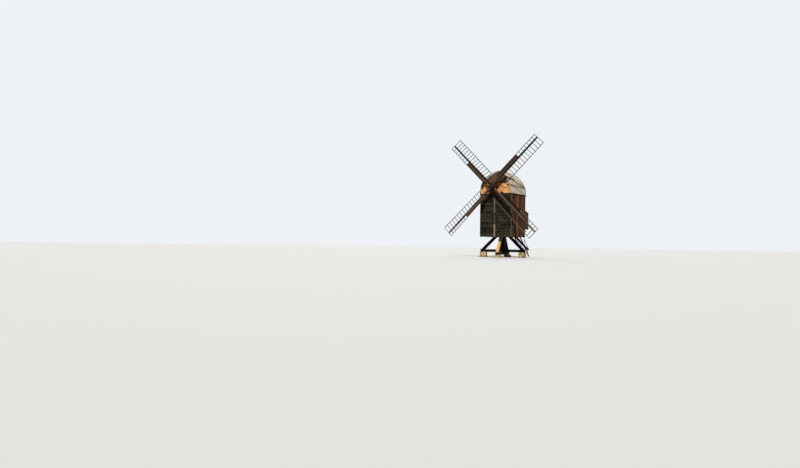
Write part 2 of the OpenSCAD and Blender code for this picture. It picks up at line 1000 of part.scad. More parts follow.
module stock_bar(margin) {
    intersection() {
        linear_extrude(height = 2 * stock_depth, center = true)
            stock_taper(stock_depth, stock_tip_depth, margin);
        rotate([90, 0, 0])
            linear_extrude(height = 2 * stock_width, center = true)
                stock_taper(stock_width, stock_tip_width, margin);
    }
}

function rung_at(i) = first_rung + i * rung_pitch;
function twist_at(r) = atan(tan(twist_root) + (tan(twist_tip) - tan(twist_root))
    * (r - first_rung) / (sail_length - first_rung));

// A rung through the stock, leaning with the sail's twist
module rung(i, margin) {
    translate([rung_at(i), 0, 0])
        rotate([twist_at(rung_at(i)), 0, 0])
            box([-rung_width / 2 - margin, -rung_thickness / 2 - margin, -wide_side],
                [rung_width / 2 + margin, rung_thickness / 2 + margin, narrow_side]);
}

module rungs(margin) {
    for (i = [0:rung_count - 1])
        rung(i, margin);
}

module stock() {
    difference() {
        stock_bar(0);
        rungs(seat_gap);
        rotate([0, 180, 0])
            rungs(seat_gap);
    }
}

module outer_stock() {
    color("#2e251c")
        at_post()
            on_shaft()
                stock_place(0)
                    stock();
}

module inner_stock() {
    color("#2e251c")
        at_post()
            on_shaft()
                stock_place(1)
                    stock();
}

// A straight bar between two points
module bar(from, to, width, thickness) {
    run = to - from;
    length = norm(run);
    translate(from)
        rotate([0, acos(run[2] / length), atan2(run[1], run[0])])
            translate([-thickness / 2, -width / 2, 0])
                cube([thickness, width, length]);
}

// A point on the twisted sail: distance along it, and across it (minus is the wide side)
function on_sail(r, across) = [r, -across * sin(twist_at(r)), across * cos(twist_at(r))];

// Rails along the edges of the lattice, one straight piece from rung to rung
module sail_rail(first, last, across) {
    for (i = [first:last - 1])
        bar(on_sail(rung_at(i) - rung_width / 2, across),
            on_sail(rung_at(i + 1) + rung_width / 2, across), rung_thickness, rail_width);
}

module lattice() {
    rungs(0);
    sail_rail(0, rung_count - 1, -wide_side + rail_width / 2);
    sail_rail(boarded_rungs, rung_count - 1, narrow_side - rail_width / 2);
}

module sail_place(number) {
    at_post()
        on_shaft()
            stock_place((number + 1) % 2)
                rotate([0, number > 2 ? 180 : 0, 0])
                    children();
}

module sail_lattice_1() {
    color("#4a3c2e")
        sail_place(1)
            lattice();
}

module sail_lattice_2() {
    color("#4a3c2e")
        sail_place(2)
            lattice();
}

module sail_lattice_3() {
    color("#4a3c2e")
        sail_place(3)
            lattice();
}

module sail_lattice_4() {
    color("#4a3c2e")
        sail_place(4)
            lattice();
}

// Flat wind boards on the narrow side, each fixed on one rung
board_back = rung_thickness / 2 + seat_gap;
board_play = 5;
board_joint = 10;
first_board_share = 0.55;

// Half the width of a stock at a distance from the middle of the cross
function stock_half(r) = (stock_width - (stock_width - stock_tip_width)
    * (r - poll_size / 2) / (sail_length - poll_size / 2)) / 2;

// Where a board starts beside the stock, leaning with the rung it lies on
function board_from(r, twist) = (stock_half(r) + board_play
    + (board_back + wind_board_thickness) * sin(twist)) / cos(twist);

module wind_boards() {
    for (i = [0:2:boarded_rungs - 1]) {
        inboard = i == 0 ? rung_pitch * first_board_share : rung_pitch - rung_width / 2 - board_joint;
        translate([rung_at(i), 0, 0])
            rotate([twist_at(rung_at(i)), 0, 0])
                box([-inboard, -board_back - wind_board_thickness,
                    board_from(rung_at(i) - inboard, twist_at(rung_at(i)))],
                    [rung_pitch - rung_width / 2 - board_joint, -board_back, narrow_side]);
    }
}

module outer_wind_boards() {
    color("#503c2d") {
        sail_place(1)
            wind_boards();
        sail_place(3)
            wind_boards();
    }
}

module inner_wind_boards() {
    color("#503c2d") {
        sail_place(2)
            wind_boards();
        sail_place(4)
            wind_boards();
    }
}

piers();
lower_cross_tree();
upper_cross_tree();
main_post();
quarter_bars();
new_quarter_bar();
post_collar();
sheers();
sills();
lower_floor();
wall_posts();
side_girts();
crown_tree();
upper_floor();
top_plates();
roof_arches();
breast_beam();
tail_beam();
front_wall_left();
front_wall_right();
front_centre_board();
left_wall();
right_wall();
rear_wall();
rear_door();
gable_new_boards();
gable_old_boards();
rear_gable();
roof_left();
roof_right();
ridge_cap();
gallery_floor();
gallery_frame();
gallery_boards();
gallery_roof();
stair_strings();
stair_treads();
stair_rails();
tail_pole();
windshaft();
outer_stock();
inner_stock();
sail_lattice_1();
sail_lattice_2();
sail_lattice_3();
sail_lattice_4();
outer_wind_boards();
inner_wind_boards();
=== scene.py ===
import math
import random

import bmesh
import bpy
from mathutils import Matrix, Vector, noise


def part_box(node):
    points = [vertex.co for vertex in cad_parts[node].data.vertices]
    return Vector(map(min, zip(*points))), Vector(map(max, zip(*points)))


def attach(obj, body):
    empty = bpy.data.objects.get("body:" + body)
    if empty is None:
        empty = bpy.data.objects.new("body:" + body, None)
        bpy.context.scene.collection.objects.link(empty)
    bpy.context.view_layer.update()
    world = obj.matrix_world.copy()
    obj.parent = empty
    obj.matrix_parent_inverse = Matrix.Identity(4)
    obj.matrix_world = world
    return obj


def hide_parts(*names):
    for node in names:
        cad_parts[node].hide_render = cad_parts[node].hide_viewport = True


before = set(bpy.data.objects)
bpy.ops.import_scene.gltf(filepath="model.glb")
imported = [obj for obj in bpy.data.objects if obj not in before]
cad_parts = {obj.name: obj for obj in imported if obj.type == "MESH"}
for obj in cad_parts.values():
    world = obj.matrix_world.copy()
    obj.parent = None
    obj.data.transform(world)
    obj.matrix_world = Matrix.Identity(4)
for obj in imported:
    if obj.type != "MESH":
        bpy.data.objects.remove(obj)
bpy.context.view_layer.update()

# Camera
# The photograph was taken 96 m off, at eye height and to the right of the sails. The mill turns on its main
# post, so this and every later section measures from the post's axis.
post_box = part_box("main_post")
post = Vector(((post_box[0].x + post_box[1].x) / 2, (post_box[0].y + post_box[1].y) / 2, 0))
camera_place = post + Vector((39.9987, -87.0483, 1.5765))
camera_forward = Vector((-0.56041, 0.82800, 0.018905)).normalized()
camera_right = camera_forward.cross(Vector((0.000406, -0.022552, 0.999746))).normalized()
camera_up = camera_right.cross(camera_forward)
camera_turn = Matrix((camera_right, camera_up, -camera_forward)).transposed()
photo_width = 800
focal_pixels = 620
camera_data = bpy.data.cameras.new("camera")
camera_data.sensor_width = 36
camera_data.lens = focal_pixels / photo_width * camera_data.sensor_width
camera_data.clip_end = 3000
camera = bpy.data.objects.new("camera", camera_data)
camera.matrix_world = Matrix.Translation(camera_place) @ camera_turn.to_4x4()
bpy.context.scene.collection.objects.link(camera)
bpy.context.scene.camera = camera
bpy.context.scene.view_settings.view_transform = "Standard"


# Studio floor, backdrop and light
# A plain pale floor and backdrop. The main lamp stands where the shadows of the sails say that the sun
# stood, to the right of the front and 39 degrees up. A soft, weak lamp lights the back, and the
# surroundings fill the shade.
def paint(red, green, blue):
    """A shader colour from red, green and blue as the eye sees them, 0 to 255."""
    shares = [value / 255 for value in (red, green, blue)]
    return (*(((s + 0.055) / 1.055) ** 2.4 if s > 0.04 else s / 12.92 for s in shares), 1)


def feed(tree, node, inputs):
    """Sets inputs of a node, by name or number, each to a value or to what another node gives."""
    for socket, value in inputs.items():
        if isinstance(value, bpy.types.NodeSocket):
            tree.links.new(value, node.inputs[socket])
        else:
            node.inputs[socket].default_value = value


def add_node(tree, kind, inputs=None, **settings):
    """Adds a node with its settings and its inputs, and gives it back."""
    made = tree.nodes.new(kind)
    for key, value in settings.items():
        setattr(made, key, value)
    feed(tree, made, inputs or {})
    return made


def calc(tree, operation, *inputs):
    """One step of arithmetic on numbers or on what other nodes give."""
    return add_node(tree, "ShaderNodeMath", dict(enumerate(inputs)), operation=operation).outputs[0]


def blend(tree, share, first, second):
    """A colour between two."""
    return add_node(tree, "ShaderNodeMix", {0: share, 6: first, 7: second}, data_type="RGBA").outputs[2]


def new_material(name):
    """A new material, its tree and its shader."""
    material = bpy.data.materials.new(name)
    material.use_nodes = True
    return material, material.node_tree, material.node_tree.nodes["Principled BSDF"]


def camera_share(tree):
    """1 for what the camera sees, straight or in a mirror or glass, and 0 for light that bounces."""
    rays = add_node(tree, "ShaderNodeLightPath").outputs
    mirrored = calc(tree, "MAXIMUM", rays["Is Glossy Ray"], rays["Is Transmission Ray"])
    return calc(tree, "MAXIMUM", rays["Is Camera Ray"], mirrored)


floor_reach = 1200
floor_mesh = bpy.data.meshes.new("studio_floor")
floor_corners = [(x * floor_reach, y * floor_reach, 0) for x, y in ((-1, -1), (1, -1), (1, 1), (-1, 1))]
floor_mesh.from_pydata(floor_corners, [], [(0, 1, 2, 3)])
floor_finish, tree, shader = new_material("studio floor")
floor_colour = blend(tree, camera_share(tree), paint(112, 110, 104), paint(218, 216, 211))
feed(tree, shader, {"Roughness": 0.95, "Base Color": floor_colour})
floor_mesh.materials.append(floor_finish)
floor = bpy.data.objects.new("studio_floor", floor_mesh)
bpy.context.scene.collection.objects.link(floor)

for name, lamp_from, energy, spread in (("main_lamp", (0.557, -1, 0.912), 3.55, 1.5),
        ("back_lamp", (-0.7, 0.9, 0.7), 1.1, 60)):
    lamp_data = bpy.data.lights.new(name, "SUN")
    lamp_data.energy = energy
    lamp_data.angle = math.radians(spread)
    lamp = bpy.data.objects.new(name, lamp_data)
    lamp.matrix_world = Vector(lamp_from).to_track_quat("Z", "Y").to_matrix().to_4x4()
    bpy.context.scene.collection.objects.link(lamp)

studio = bpy.data.worlds.new("studio")
studio.use_nodes = True
bpy.context.scene.world = studio
tree = studio.node_tree
surround = tree.nodes["Background"]
feed(tree, surround, {"Color": paint(236, 242, 250), "Strength": 0.21})
backdrop = add_node(tree, "ShaderNodeBackground", {"Color": paint(238, 242, 246), "Strength": 1})
surface = add_node(tree, "ShaderNodeMixShader", {0: camera_share(tree), 1: surround.outputs[0],
    2: backdrop.outputs[0]})
feed(tree, tree.nodes["World Output"], {"Surface": surface.outputs[0]})


# Sandstone piers
# Four piers of squared, weathered sandstone laid in courses with lime mortar. The two that carry the upper
# cross-tree are twice as high. The trestle stands turned a little under the body.
trestle_turn = math.radians(10)
at_post = Matrix.Translation(post)
at_trestle = at_post @ Matrix.Rotation(trestle_turn, 4, "Z")
pier_size = 0.95
pier_radius = 3.0
low_pier_height = 0.4
high_pier_height = 0.8
stone_course = 0.2
stone_joint = 0.014
mortar_inset = 0.03
mortar_drop = 0.006
# A fixed seed makes the uneven faces of the stones and hewn timbers the same in every run.
noise.seed_set(7)


def new_piece():
    """An empty mesh with room for the run of the grain, each part's tone, and where its edges are worn."""
    bm = bmesh.new()
    bm.loops.layers.uv.new("grain")
    bm.faces.layers.float.new("tone")
    bm.faces.layers.float.new("worn")
    return bm


def place_piece(name, bm, material, body, slot, *stands_for, move=None, smooth=False):
    """Makes a mesh a piece that rides on a body, takes its finish from a slot and may stand for nodes."""
    bmesh.ops.recalc_face_normals(bm, faces=bm.faces)
    if move is None:
        move = at_trestle if body == "trestle" else at_post
    bm.transform(move)
    mesh = bpy.data.meshes.new(name)
    bm.to_mesh(mesh)
    bm.free()
    mesh.materials.append(material)
    if smooth:
        mesh.shade_smooth()
    piece = bpy.data.objects.new(name, mesh)
    bpy.context.scene.collection.objects.link(piece)
    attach(piece, body)
    if stands_for:
        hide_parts(*stands_for)


def stone(bm, low, high, rounding=0.03, rough=0.012):
    """A squared stone between two corners, with rounded, uneven edges and faces."""
    tone_layer = bm.faces.layers.float["tone"]
    middle = (low + high) / 2
    half = (high - low) / 2
    core = half - Vector((rounding, rounding, rounding))
    stops = [-1, -0.4, 0, 0.4, 1]
    tone = noise.cell(middle * 9.1)
    grid = {}

    def corner(place):
        """The stone's point nearest a place on the plain box, pushed about by the mason's tool."""
        key = tuple(round(c, 5) for c in place)
        if key not in grid:
            inside = Vector([max(-c, min(c, p)) for p, c in zip(place, core)])
            out = place - inside
            point = middle + inside + (out.normalized() * rounding if out.length > 1e-6 else out)
            point += noise.noise_vector(point * 9) * rough
            point.z = max(point.z, 0)
            grid[key] = bm.verts.new(point)
        return grid[key]

    for axis in range(3):
        across = (axis + 1) % 3
        up = (axis + 2) % 3
        for side, a, b in ((side, a, b) for side in (-1, 1) for a in range(4) for b in range(4)):
            quad = []
            for da, db in ((0, 0), (1, 0), (1, 1), (0, 1)):
                place = Vector((0, 0, 0))
                place[axis] = side * half[axis]
                place[across] = stops[a + da] * half[across]
                place[up] = stops[b + db] * half[up]
                quad.append(corner(place))
            bm.faces.new(quad)[tone_layer] = tone


def attribute(tree, name):
    """A number that the mesh carries."""
    return add_node(tree, "ShaderNodeAttribute", attribute_name=name).outputs["Fac"]


def place_on(tree):
    """The place on the object."""
    return add_node(tree, "ShaderNodeTexCoord").outputs["Object"]


def cloud(tree, place, scale, detail, roughness=0.5):
    """Soft noise from 0 to 1."""
    return add_node(tree, "ShaderNodeTexNoise", {"Vector": place, "Scale": scale, "Detail": detail,
        "Roughness": roughness}).outputs[0]


def remap(tree, value, low, high, to_low=0, to_high=1):
    """A value stretched from one range to another and kept inside it."""
    return add_node(tree, "ShaderNodeMapRange", {"Value": value, "From Min": low, "From Max": high,
        "To Min": to_low, "To Max": to_high}).outputs[0]


def calc_vector(tree, operation, first, second):
    """One step of arithmetic on vectors or colours."""
    return add_node(tree, "ShaderNodeVectorMath", {0: first, 1: second}, operation=operation).outputs[0]


def bumped(tree, height, strength, distance):
    """The normal of a surface with small bumps."""
    return add_node(tree, "ShaderNodeBump", {"Height": height, "Strength": strength,
        "Distance": distance}).outputs[0]


def stone_material(name, pale, dark, stain, grain_scale, bump):
    """Stone or mortar: cloudy beds of two colours, fine grit, and damp stains that rise from the ground."""
    material, tree, shader = new_material(name)
    place = place_on(tree)
    beds = cloud(tree, place, 5, 5, 0.6)
    grit = cloud(tree, place, grain_scale, 3)
    mixed = calc(tree, "MULTIPLY_ADD", beds, 0.45, attribute(tree, "tone"))
    base = blend(tree, remap(tree, mixed, 0.2, 1.1), paint(*dark), paint(*pale))
    height = add_node(tree, "ShaderNodeSeparateXYZ", {0: place}).outputs["Z"]
    damp = calc(tree, "MULTIPLY", remap(tree, height, 0.3, 0, 0, 0.7), beds)
    speck = remap(tree, grit, 0.3, 0.7, 0.82, 1.1)
    colour = calc_vector(tree, "MULTIPLY", blend(tree, damp, base, paint(*stain)), speck)
    feed(tree, shader, {"Base Color": colour, "Roughness": 0.9, "Specular IOR Level": 0.2,
        "Normal": bumped(tree, grit, bump, 0.01)})
    return material


sandstone = stone_material("sandstone", (226, 195, 138), (172, 139, 90), (96, 88, 62), 60, 0.5)
mortar = stone_material("lime mortar", (182, 168, 142), (140, 126, 102), (90, 84, 66), 140, 0.3)
pier_stones = new_piece()
pier_mortar = new_piece()
gap = Vector((stone_joint, stone_joint, stone_joint)) / 2
inset = Vector((mortar_inset, mortar_inset, 0))
for end in range(4):
    height = low_pier_height if end % 2 else high_pier_height
    middle = Matrix.Rotation(end * math.pi / 2, 3, "Z") @ Vector((pier_radius, 0, 0))
    foot = Vector((round(middle.x, 6), round(middle.y, 6), 0)) - Vector((pier_size / 2, pier_size / 2, 0))
    for course in range(round(height / stone_course)):
        chance = random.Random(10 * end + course)
        cuts_x = [0, chance.uniform(*((0.38, 0.46) if course % 2 else (0.54, 0.62))), 1]
        cuts_y = [0, chance.uniform(0.45, 0.58), 1]
        for x, y in ((0, 0), (0, 1), (1, 0), (1, 1)):
            low, high = (foot + Vector((cuts_x[x + far] * pier_size, cuts_y[y + far] * pier_size,
                (course + far) * stone_course)) for far in (0, 1))
            stone(pier_stones, low + gap, high - gap)
    top = foot + Vector((pier_size, pier_size, height - mortar_drop))
    stone(pier_mortar, foot + inset, top - inset, 0.01, 0.004)
place_piece("pier_stones", pier_stones, sandstone, "trestle", "sandstone", "piers", smooth=True)
place_piece("pier_mortar", pier_mortar, mortar, "trestle", "sandstone")


# Cross-trees
# Two old oak beams, hewn with the axe and crossed over each other on the piers. They are nearly black, partly
# with age and partly with painted shade from under the body, and their long edges are worn round.
cross_tree_reach = 3.45
cross_tree_width = 0.40
cross_tree_height = 0.40


def section(axis, place, first, second):
    """The corners of a section across an axis, X, Y or Z, from two opposite ones on the other two axes."""
    row = []
    for wide, high in (first, (second[0], first[1]), second, (first[0], second[1])):
        corner = [wide, high]
        corner.insert("XYZ".index(axis), place)
        row.append(Vector(corner))
    return row


def skin(bm, rings, along, around, tone, worn):
    """Faces between rings of corners, with the run of the grain, their tone and the worn edges."""
    grain = bm.loops.layers.uv["grain"]
    tone_layer = bm.faces.layers.float["tone"]
    worn_layer = bm.faces.layers.float["worn"]
    for number in range(len(rings) - 1):
        near, far = rings[number], rings[number + 1]
        for index in range(len(near)):
            nearby = (index + 1) % len(near)
            face = bm.faces.new((near[index], near[nearby], far[nearby], far[index]))
            face[tone_layer] = tone
            face[worn_layer] = worn[index]
            places = ((number, index), (number, index + 1), (number + 1, index + 1), (number + 1, index))
            for loop, (row, turn) in zip(face.loops, places):
                loop[grain].uv = (along[row], around[turn])


def hewn(bm, sections, edge=0.02, rough=0.006, steps=6, tone=None):
    """A timber through a row of four-cornered sections: chamfered edges, and faces that wander a little."""
    grain = bm.loops.layers.uv["grain"]
    rows = [sections[0]]
    for first, second in zip(sections, sections[1:]):
        for step in range(1, steps + 1):
            rows.append([a.lerp(b, step / steps) for a, b in zip(first, second)])
    if tone is None:
        tone = noise.cell(sections[0][0] * 13.7 + sections[-1][2] * 7.3)
    rings = []
    along = [0]
    for number, row in enumerate(rows):
        loose = 0 if number in (0, len(rows) - 1) else rough
        ring = []
        for index, here in enumerate(row):
            for other in (row[index - 1], row[(index + 1) % 4]):
                point = here + (other - here).normalized() * edge
                ring.append(bm.verts.new(point + noise.noise_vector(point * 1.9) * loose))
        rings.append(ring)
        if number:
            along.append(along[-1] + (row[0] - rows[number - 1][0]).length)
    around = [0]
    for index in range(8):
        around.append(around[-1] + (rings[0][index].co - rings[0][(index + 1) % 8].co).length)
    skin(bm, rings, along, around, tone, (1, 0) * 4)
    for ring, row in ((rings[0], rows[0]), (rings[-1], rows[-1])):
        face = bm.faces.new(ring)
        face[bm.faces.layers.float["tone"]] = tone
        face[bm.faces.layers.float["worn"]] = 0.4
        wide = (row[1] - row[0]).normalized()
        deep = (row[3] - row[0]).normalized()
        for loop in face.loops:
            arm = loop.vert.co - row[0]
            loop[grain].uv = (arm.dot(wide) * 0.3, arm.dot(deep))


def straight(bm, axis, low, high, edge=0.02, rough=0.006, steps=6, turn=None):
    """A straight timber along an axis between two opposite corners of its box, which may then be turned."""
    low, high = zip(*(sorted(pair) for pair in zip(low, high)))
    run = "XYZ".index(axis)
    first, second = ([c for number, c in enumerate(corner) if number != run] for corner in (low, high))
    rows = [section(axis, end, first, second) for end in (low[run], high[run])]
    if turn:
        rows = [[turn @ c for c in row] for row in rows]
    hewn(bm, rows, edge, rough, steps)


def add_sockets(tree, way, kind, *names):
    """Gives a node group inputs or outputs of one kind."""
    for name in names:
        tree.interface.new_socket(name=name, in_out=way, socket_type="NodeSocket" + kind)


def wood_figure():
    """The pattern of wood: fibres, broad streaks, knots, drying splits and the height that they give."""
    group = bpy.data.node_groups.new("wood figure", "ShaderNodeTree")
    add_sockets(group, "INPUT", "Vector", "Grain Place")
    add_sockets(group, "INPUT", "Float", "Tone")
    add_sockets(group, "OUTPUT", "Float", "Fibre", "Streak", "Knot", "Split", "Height")
    given = add_node(group, "NodeGroupInput").outputs
    shift = calc_vector(group, "MULTIPLY", given["Tone"], (37, 91, 53))
    place = calc_vector(group, "ADD", given["Grain Place"], shift)

    def stretched(scale, kind, **values):
        """A texture that is drawn out along the grain."""
        pulled = calc_vector(group, "MULTIPLY", place, scale)
        return add_node(group, kind, {"Vector": pulled, "Scale": 1, **values}).outputs[0]

    fibre = stretched((2.5, 70, 70), "ShaderNodeTexNoise", Detail=4, Roughness=0.6, Distortion=0.3)
    streak = stretched((0.7, 9, 9), "ShaderNodeTexNoise", Detail=3, Roughness=0.55)
    crack = stretched((0.9, 38, 38), "ShaderNodeTexNoise", Detail=2, Roughness=0.5)
    eye = stretched((2.2, 6, 6), "ShaderNodeTexVoronoi", Randomness=1)
    split = remap(group, crack, 0.64, 0.70)
    feed(group, add_node(group, "NodeGroupOutput"), {"Fibre": fibre, "Streak": streak, "Split": split,
        "Knot": remap(group, eye, 0.16, 0.06), "Height": calc(group, "SUBTRACT", fibre, split)})
    return group


wood_pattern = wood_figure()


def wood(name, dark, pale, worn, hollow, rough=0.8, bump=0.5, along=None, plank_axis=None,
        plank_width=0.22):
    """Wood in two tones with worn edges and dark hollows. A piece of boards carries its own grain and tones,
    and a plain CAD timber says which way its grain runs and how its planks lie."""
    material, tree, shader = new_material(name)
    place = place_on(tree)
    if along is None:
        run = add_node(tree, "ShaderNodeUVMap", uv_map="grain").outputs[0]
        tone = attribute(tree, "tone")
    else:
        turn = {"X": (0, 0, 0), "Y": (0, 0, -math.pi / 2), "Z": (0, math.pi / 2, 0)}[along]
        run = add_node(tree, "ShaderNodeMapping", {"Vector": place, "Rotation": turn}).outputs[0]
        tone = cloud(tree, place, 0.5, 0)
    if plank_axis:
        axis = add_node(tree, "ShaderNodeSeparateXYZ", {0: place}).outputs[plank_axis]
        cell = calc(tree, "DIVIDE", axis, plank_width)
        tone = add_node(tree, "ShaderNodeTexWhiteNoise", {"W": calc(tree, "FLOOR", cell)},
            noise_dimensions="1D").outputs["Value"]
    figure = add_node(tree, "ShaderNodeGroup", node_tree=wood_pattern)
    feed(tree, figure, {"Grain Place": run, "Tone": tone})
    figure = figure.outputs
    grain = calc(tree, "MULTIPLY_ADD", figure["Fibre"], 0.45, figure["Streak"])
    shade = calc(tree, "MULTIPLY_ADD", tone, 0.9, grain)
    weather = calc(tree, "MULTIPLY_ADD", cloud(tree, place, 0.8, 3), 0.6, shade)
    base = blend(tree, remap(tree, weather, 0.75, 1.9), paint(*dark), paint(*pale))
    rubbed = calc(tree, "MULTIPLY", attribute(tree, "worn"), figure["Streak"])
    pit = calc(tree, "MAXIMUM", figure["Knot"], figure["Split"])
    if plank_axis:
        pit = calc(tree, "MAXIMUM", pit, remap(tree, calc(tree, "FRACT", cell), 0, 0.05, 1, 0))
    marked = blend(tree, pit, blend(tree, rubbed, base, paint(*worn)), paint(*hollow))
    gloss = remap(tree, figure["Fibre"], 0, 1, rough + 0.1, rough - 0.08)
    feed(tree, shader, {"Base Color": marked, "Roughness": gloss, "Specular IOR Level": 0.08,
        "Normal": bumped(tree, figure["Height"], bump, 0.004)})
    return material


# Painted shade: this dark oak is darkened further as the shade under the body.
old_oak_and_painted_shade = wood("old oak", (16, 12, 8), (50, 40, 29), (68, 56, 42), (5, 4, 3))
half = cross_tree_width / 2
for name, turn, low in (("lower_cross_tree", 90, low_pier_height), ("upper_cross_tree", 0, high_pier_height)):
    beam = new_piece()
    straight(beam, "X", (-cross_tree_reach, -half, low), (cross_tree_reach, half, low + cross_tree_height),
        0.03, 0.012, 14)
    beam.transform(Matrix.Rotation(math.radians(turn), 4, "Z"))
    place_piece(name + "_timber", beam, old_oak_and_painted_shade, "trestle", "old_timber", name)


# Main post
# One oak trunk: square with broad chamfers where the quarter bars bear on it, turned round inside the body,
# and ending in a pintle in the crown tree. Its near-black colour is dark oak with painted shade from under
# the body.
post_square = 0.72
post_round = 0.34
pintle_round = 0.12
post_foot = high_pier_height + cross_tree_height
sill_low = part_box("sheers")[0].z
collar_top = sill_low - 0.025
crown_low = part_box("crown_tree")[0].z


def turned(bm, low, high, radii, sides=32):
    """An upright round timber on the post's axis, from a height to a height through evenly spaced radii."""
    start = Vector((0, 0, low))
    end = Vector((0, 0, high))
    axis = (end - start).normalized()
    side = axis.orthogonal().normalized()
    other = axis.cross(side)
    rings = []
    for number, radius in enumerate(radii):
        middle = start.lerp(end, number / (len(radii) - 1))
        rings.append([bm.verts.new(middle + (side * math.cos(a) + other * math.sin(a)) * radius)
            for a in (2 * math.pi * index / sides for index in range(sides))])
    reach = (end - start).length / (len(radii) - 1)
    around = [turn / sides * 2 * math.pi * max(radii) for turn in range(sides + 1)]
    skin(bm, rings, [row * reach for row in range(len(radii))], around, 0.5, [0] * sides)
    for ring in (rings[0], rings[-1]):
        bm.faces.new(ring)[bm.faces.layers.float["tone"]] = 0.5


# Painted shade: the post is painted near-black as the shade under the body.
post_oak_painted_shade = wood("post oak painted shade", (8, 7, 6), (26, 21, 17), (40, 33, 26), (3, 2, 2))
main_post = new_piece()
half = post_square / 2
straight(main_post, "Z", (-half, -half, post_foot), (half, half, collar_top), 0.07, 0.006, 8)
turned(main_post, collar_top - 0.01, crown_low, [post_round] * 6)
turned(main_post, crown_low - 0.01, post_box[1].z, [pintle_round] * 2)
place_piece("main_post_timber", main_post, post_oak_painted_shade, "trestle", "old_timber", "main_post")


# Quarter bars and collar
# Four raking oak bars carry the post from the cross-trees. The front one has been renewed in pale fresh
# timber with sharp edges. A square collar of four planks lies round the post on top of them.
quarter_bar_width = 0.38
quarter_bar_depth = 0.43
quarter_bar_foot = 3.35
collar_half = 0.625
collar_low = collar_top - 0.15
quarter_bar_head = collar_low - 0.005


def quarter_bar(bm, foot_height, turn, edge, rough):
    """A bar towards +X, cut level at its foot and upright at its head, then turned about the post."""
    run = quarter_bar_foot - half
    rise = quarter_bar_head - foot_height
    length = math.hypot(run, rise)
    wide = quarter_bar_width / 2
    foot_back = quarter_bar_foot - quarter_bar_depth * length / rise
    head_low = quarter_bar_head - quarter_bar_depth * length / run
    foot = [Vector((x, y, foot_height)) for x, y in ((quarter_bar_foot, -wide), (quarter_bar_foot, wide),
        (foot_back, wide), (foot_back, -wide))]
    head = [Vector((half, y, z)) for y, z in ((-wide, quarter_bar_head), (wide, quarter_bar_head),
        (wide, head_low), (-wide, head_low))]
    turned_by = Matrix.Rotation(math.radians(turn), 3, "Z")
    hewn(bm, [[turned_by @ c for c in row] for row in (foot, head)], edge, rough, 10)


bars = new_piece()
for turn, foot_height in ((0, post_foot), (90, high_pier_height), (180, post_foot)):
    quarter_bar(bars, foot_height, turn, 0.03, 0.012)
place_piece("quarter_bar_timbers", bars, old_oak_and_painted_shade, "trestle", "old_timber", "quarter_bars")
fresh_pine = wood("fresh pine", (222, 170, 99), (254, 213, 138), (238, 194, 128), (128, 84, 44), 0.65, 0.3)
new_bar = new_piece()
quarter_bar(new_bar, high_pier_height, -90, 0.012, 0.002)
place_piece("new_quarter_bar_timber", new_bar, fresh_pine, "trestle", "fresh_timber", "new_quarter_bar")
collar = new_piece()
for turn in range(4):
    reach = collar_half if turn % 2 else half
    straight(collar, "X", (-reach, half, collar_low), (reach, collar_half, collar_top), 0.015, 0.003, 3,
        Matrix.Rotation(turn * math.pi / 2, 3, "Z"))
place_piece("post_collar_planks", collar, old_oak_and_painted_shade, "trestle", "old_timber", "post_collar")


# Sheers and sills
# The beams under the floor: two long sheers beside the post with cross pieces between them, and a ring of
# four sills under the walls, all of old hewn oak. The wall boards hang lower, on a light frame below the
# sills.
sill_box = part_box("sills")
frame_x = (sill_box[1].x - sill_box[0].x) / 2
frame_y = (sill_box[1].y - sill_box[0].y) / 2
sill_top = sill_box[1].z
sill_width = 0.26
sheer_inner = 0.38
sheer_width = 0.30
sheer_end = frame_y - sill_width
pole_head = sheer_end - 0.65
skirt = 0.12
skirt_low = sill_box[0].z
door_half = (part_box("rear_door")[1].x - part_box("rear_door")[0].x) / 2 + 0.004
stud_y = frame_y * 0.36
front_stud = -0.115

sheers = new_piece()
for side in (-1, 1):
    straight(sheers, "Y", (side * sheer_inner, -sheer_end, sill_low),
        (side * (sheer_inner + sheer_width), sheer_end, sill_top), 0.02, 0.008, 12)
for y in (-sheer_inner - sheer_width, sheer_inner, pole_head - sheer_width):
    straight(sheers, "X", (-sheer_inner, y, sill_low), (sheer_inner, y + sheer_width, sill_top),
        0.015, 0.004, 3)
place_piece("sheer_timbers", sheers, old_oak_and_painted_shade, "mill_body", "old_timber", "sheers")
sills = new_piece()
hangers = [(-2 * door_half, frame_y - skirt), (2 * door_half - skirt, frame_y - skirt),
    (front_stud - skirt / 2, -frame_y)]
for wide, low, high, edge, rough in ((sill_width, sill_low, sill_top, 0.02, 0.008),
        (skirt, skirt_low, skirt_low + skirt, 0.008, 0.004)):
    for side in (-1, 1):
        straight(sills, "Y", (side * (frame_x - wide), -frame_y, low), (side * frame_x, frame_y, high),
            edge, rough, 12)
        straight(sills, "X", (wide - frame_x, side * (frame_y - wide), low),
            (frame_x - wide, side * frame_y, high), edge, rough, 12)
for side in (-1, 1):
    inner = min(side * (frame_x - skirt), side * frame_x)
    hangers += [(inner, y) for y in (-frame_y, -stud_y, stud_y - skirt, frame_y - skirt)]
for x, y in hangers:
    straight(sills, "Z", (x, y, skirt_low + skirt), (x + skirt, y + skirt, sill_low), 0.008, 0.004, 4)
place_piece("sill_timbers", sills, old_oak_and_painted_shade, "mill_body", "old_timber", "sills")


# Frame and floors inside the body
# Posts, girts, crown tree, plates, roof arches and bearing beams are sawn oak, and the floors are pine
# boards. They show only from below and through the hatches, so the solids stay and carry the finish.
def dress(material, *names):
    """Gives carried-over solids a finish."""
    for name in names:
        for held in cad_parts[name].material_slots:
            held.material = material


